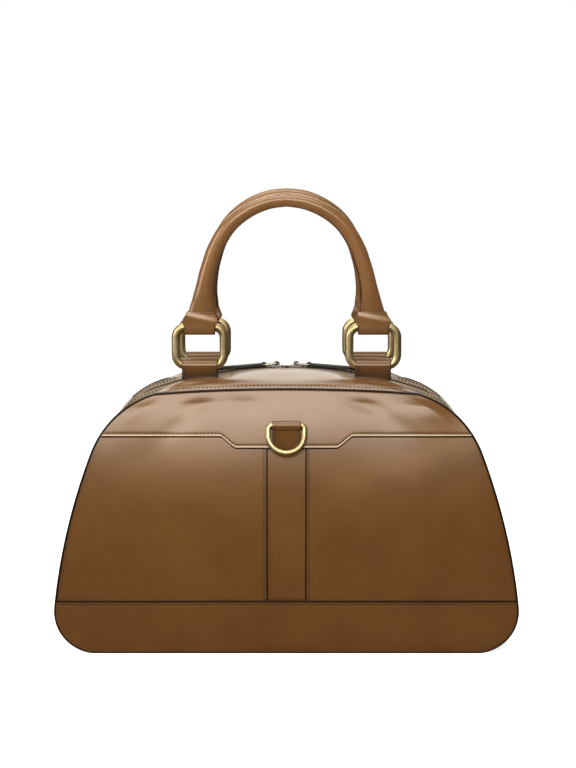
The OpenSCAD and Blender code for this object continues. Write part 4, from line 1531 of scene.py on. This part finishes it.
def handle_section(inset, angles, side):
    """Rings of points round the handle's middle line, drawn in by a wall's thickness."""
    rise = handle_tops[side] - handle_end_z
    middle = both_halves(smooth_line(handle_shares * [ring_x, rise] + [0, handle_end_z], 9))
    normal = -path_normals(middle)
    roll = handle_roll_r + (handle_leg_r - handle_roll_r) * np.abs(middle[:, 0]) / ring_x
    wide = roll + (handle_end_half - roll) * flat - inset
    deep = roll + (handle_flat_half - roll) * flat - inset
    row = np.arange(len(middle))[:, None]
    crease = 0.05 * np.sin(row / 2.3 + 1.5 * np.sin(angles)) * np.clip(flat[:, None] * 3, 0.25, 1)
    crease += 0.05 * np.sin(row / 5.7 + 2 * np.cos(angles) + 1.0)
    off = np.abs(np.angle(np.exp(1j * (angles - seam_angle))))
    groove = -0.45 * np.exp(-(off / 0.07) ** 2) + 0.2 * np.exp(-((off - 0.25) / 0.12) ** 2)
    lift = (crease + groove) * (inset == 0)
    across = (wide[:, None] + lift) * np.cos(angles)
    x = middle[:, :1] + normal[:, :1] * across
    z = middle[:, 1:] + normal[:, 1:] * across
    y = side * (ring_y - (deep[:, None] + lift) * np.sin(angles))
    return xyz(x, y, z), off


for side, word in walls:
    outer, off = handle_section(0, full_turn(section_count)[None, :], side)
    inner = handle_section(sleeve_t, full_turn(section_count)[None, :], side)[0]
    sleeve = thick_grid(f"{word}_handle_sleeve", outer, inner, rolled_calf, loop=True,
                        paint=np.clip(1.6 - off / 0.09, 0, 1), wear=0.4 * np.exp(-off / 0.3))
    settle(sleeve, f"{word}_handle", "calf_leather", f"handle_{word}")
    core = handle_section(sleeve_t + rope_gap, full_turn(rope_count)[None, :], side)[0]
    settle(tube(f"{word}_handle_rope", core[rope_trim:-rope_trim], rope), f"{word}_handle",
           "handle_core", f"handle_core_{word}")
    line = handle_section(-0.05, seam_angle + seam_stitch_turn, side)[0][seam_trim:-seam_trim, 0]
    settle(sew(f"{word}_handle_stitches", [line], thread, 3.0, 2.3, 0.6),
           f"{word}_handle", "calf_leather")

# %% [markdown]
# The tabs are wider than the ring lets through, so the leather spreads above the bar and
# creases where it is pinched. The strip follows a U round the upper bar, its half width changes
# along the way, and one broad slanting fold stands for the creases.

# %% Tabs round the upper bars
tab_rise = seam_z - handle_bar_z
tab_loose = 1.15
tab_lean = 0.35
fold_rise = 0.95
fold_z = 6.0
fold_slope = 0.35
fold_half = 4.4
tab_heights = [-8, 0, 1.5, 2.6, 4.2, 6.5, 9.5, tab_rise]
# The tab's half widths at those heights above the bar.
tab_halves = [12.4, 12.4, 13.0, 13.9, 14.8, 14.2, 12.5, 11.4]


def tab_crease(end):
    """A broad fold that runs down across the tab towards one side."""
    def crease(x, path):
        z = path[:, 1:2]
        fold = fold_rise * np.exp(-((z - fold_z + fold_slope * end * x) / fold_half) ** 2)
        return fold * np.sin(math.pi * ramp(z, tab_rise))
    return crease


def onto_bar(side, end):
    """Puts points round a ring's upper bar, drawn in a little with the handle further up."""
    def place(points):
        shift = ring_x - 1.1 * np.clip(points[..., 2], 0, 20) / 10
        return xyz(end * (shift + points[..., 0]), side * (ring_y - points[..., 1]),
                   handle_bar_z + points[..., 2])
    return place


for side, word, end, which in quarters:
    place = onto_bar(side, end)
    legs = np.linspace(tab_rise, 0.3, 26)
    path = fold_path(legs, np.linspace(math.pi, 2 * math.pi, 26), tab_lean * legs / tab_rise,
                     tab_loose)
    half = np.interp(path[:, 1], tab_heights, tab_halves)
    thickness = fold_t - 0.7 * np.clip(path[:, 1], 0, tab_rise) / tab_rise
    tab = fold_sheet(f"handle_fold_{word}_{which}", path, -path_normals(path), half, thickness,
                     place, rolled_calf, tab_crease(end))
    settle(tab, f"{word}_handle", "calf_leather", f"handle_tab_{word}_{which}")
    x = np.linspace(-10.6, 10.6, 12)
    rows = [place(xyz(x, leg * (fold_mid + 1.15), tab_rise - 1.7)) for leg in (-1, 1)]
    settle(sew(f"handle_fold_stitches_{word}_{which}", rows, dark_thread, 2.6, 2.0, 0.7),
           f"{word}_handle", "calf_leather")

# %% [markdown]
# ## The front ring
# A D-ring hangs from a short strap in the middle of the yoke. The strap is sewn flat on the
# wall and rolled round the ring's bar, so it is a flat patch with a hollow roll at its top.

# %% Patch, roll and ring
dring_bar_z = 182.7
dring_wire = 4.4
dring_fold_t = 1.4
dring_bore_r = dring_wire / 2 + 0.3
dring_fold_r = dring_bore_r + dring_fold_t
dring_half_w = 11.2
patch_low_z = yoke_mid_z - 0.4
patch_high_z = dring_bar_z - 0.8
patch_stitch_x = dring_half_w - 1.9
patch_stitch_z = yoke_mid_z + 1.6
dring_bar_y = float(wall_depth(dring_bar_z, skin_out)) + dring_fold_r


def strap_rise(z):
    """The strap comes off the wall towards the ring's bar."""
    return leather_t + 3.2 * ramp(z - yoke_mid_z, dring_bar_z - yoke_mid_z)


patch = wall_sheet("ring_patch", FRONT, constant(patch_low_z), constant(patch_high_z),
                   constant(-dring_half_w), constant(dring_half_w), skin_out, thick=strap_rise)
settle(patch, "bag", "calf_leather", "d_ring_tab")
x = spread(-dring_half_w, dring_half_w, 1.5)
gap = dring_half_w - np.abs(x)
angles = full_turn(36)
loops = []
for radius in (dring_fold_r - rounded(gap, 0.5)[:, None], dring_bore_r + 0 * gap[:, None]):
    loops.append(xyz(x[:, None], -dring_bar_y + radius * np.cos(angles),
                     dring_bar_z + radius * np.sin(angles)))
roll = thick_grid("ring_roll", *loops, calf, loop=True,
                  **edge_marks(gap[:, None] + 0 * angles, 0.35, 0.3))
settle(roll, "bag", "calf_leather")
z = along(patch_stitch_z, dring_bar_z - 4.5, 2)
x = along(-patch_stitch_x, patch_stitch_x, 2)
rows = [wall_line(edge * patch_stitch_x, z, skin_out + strap_rise(z), FRONT) for edge in (-1, 1)]
rows.append(wall_line(x, patch_stitch_z, skin_out + strap_rise(patch_stitch_z), FRONT))
settle(sew("ring_patch_stitches", rows, thread, 2.6, 2.0, 0.65), "bag", "calf_leather")
settle(softened_copy("brass_d_ring", "d_ring", 0.1, brass), "d_ring", "antique_brass", "d_ring")

# %% Sizes and finish
shown_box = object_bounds()
for word, box in (("frame", cad_box), ("shown", shown_box)):
    print(word, [round(v / MM, 1) for p in box for v in p])
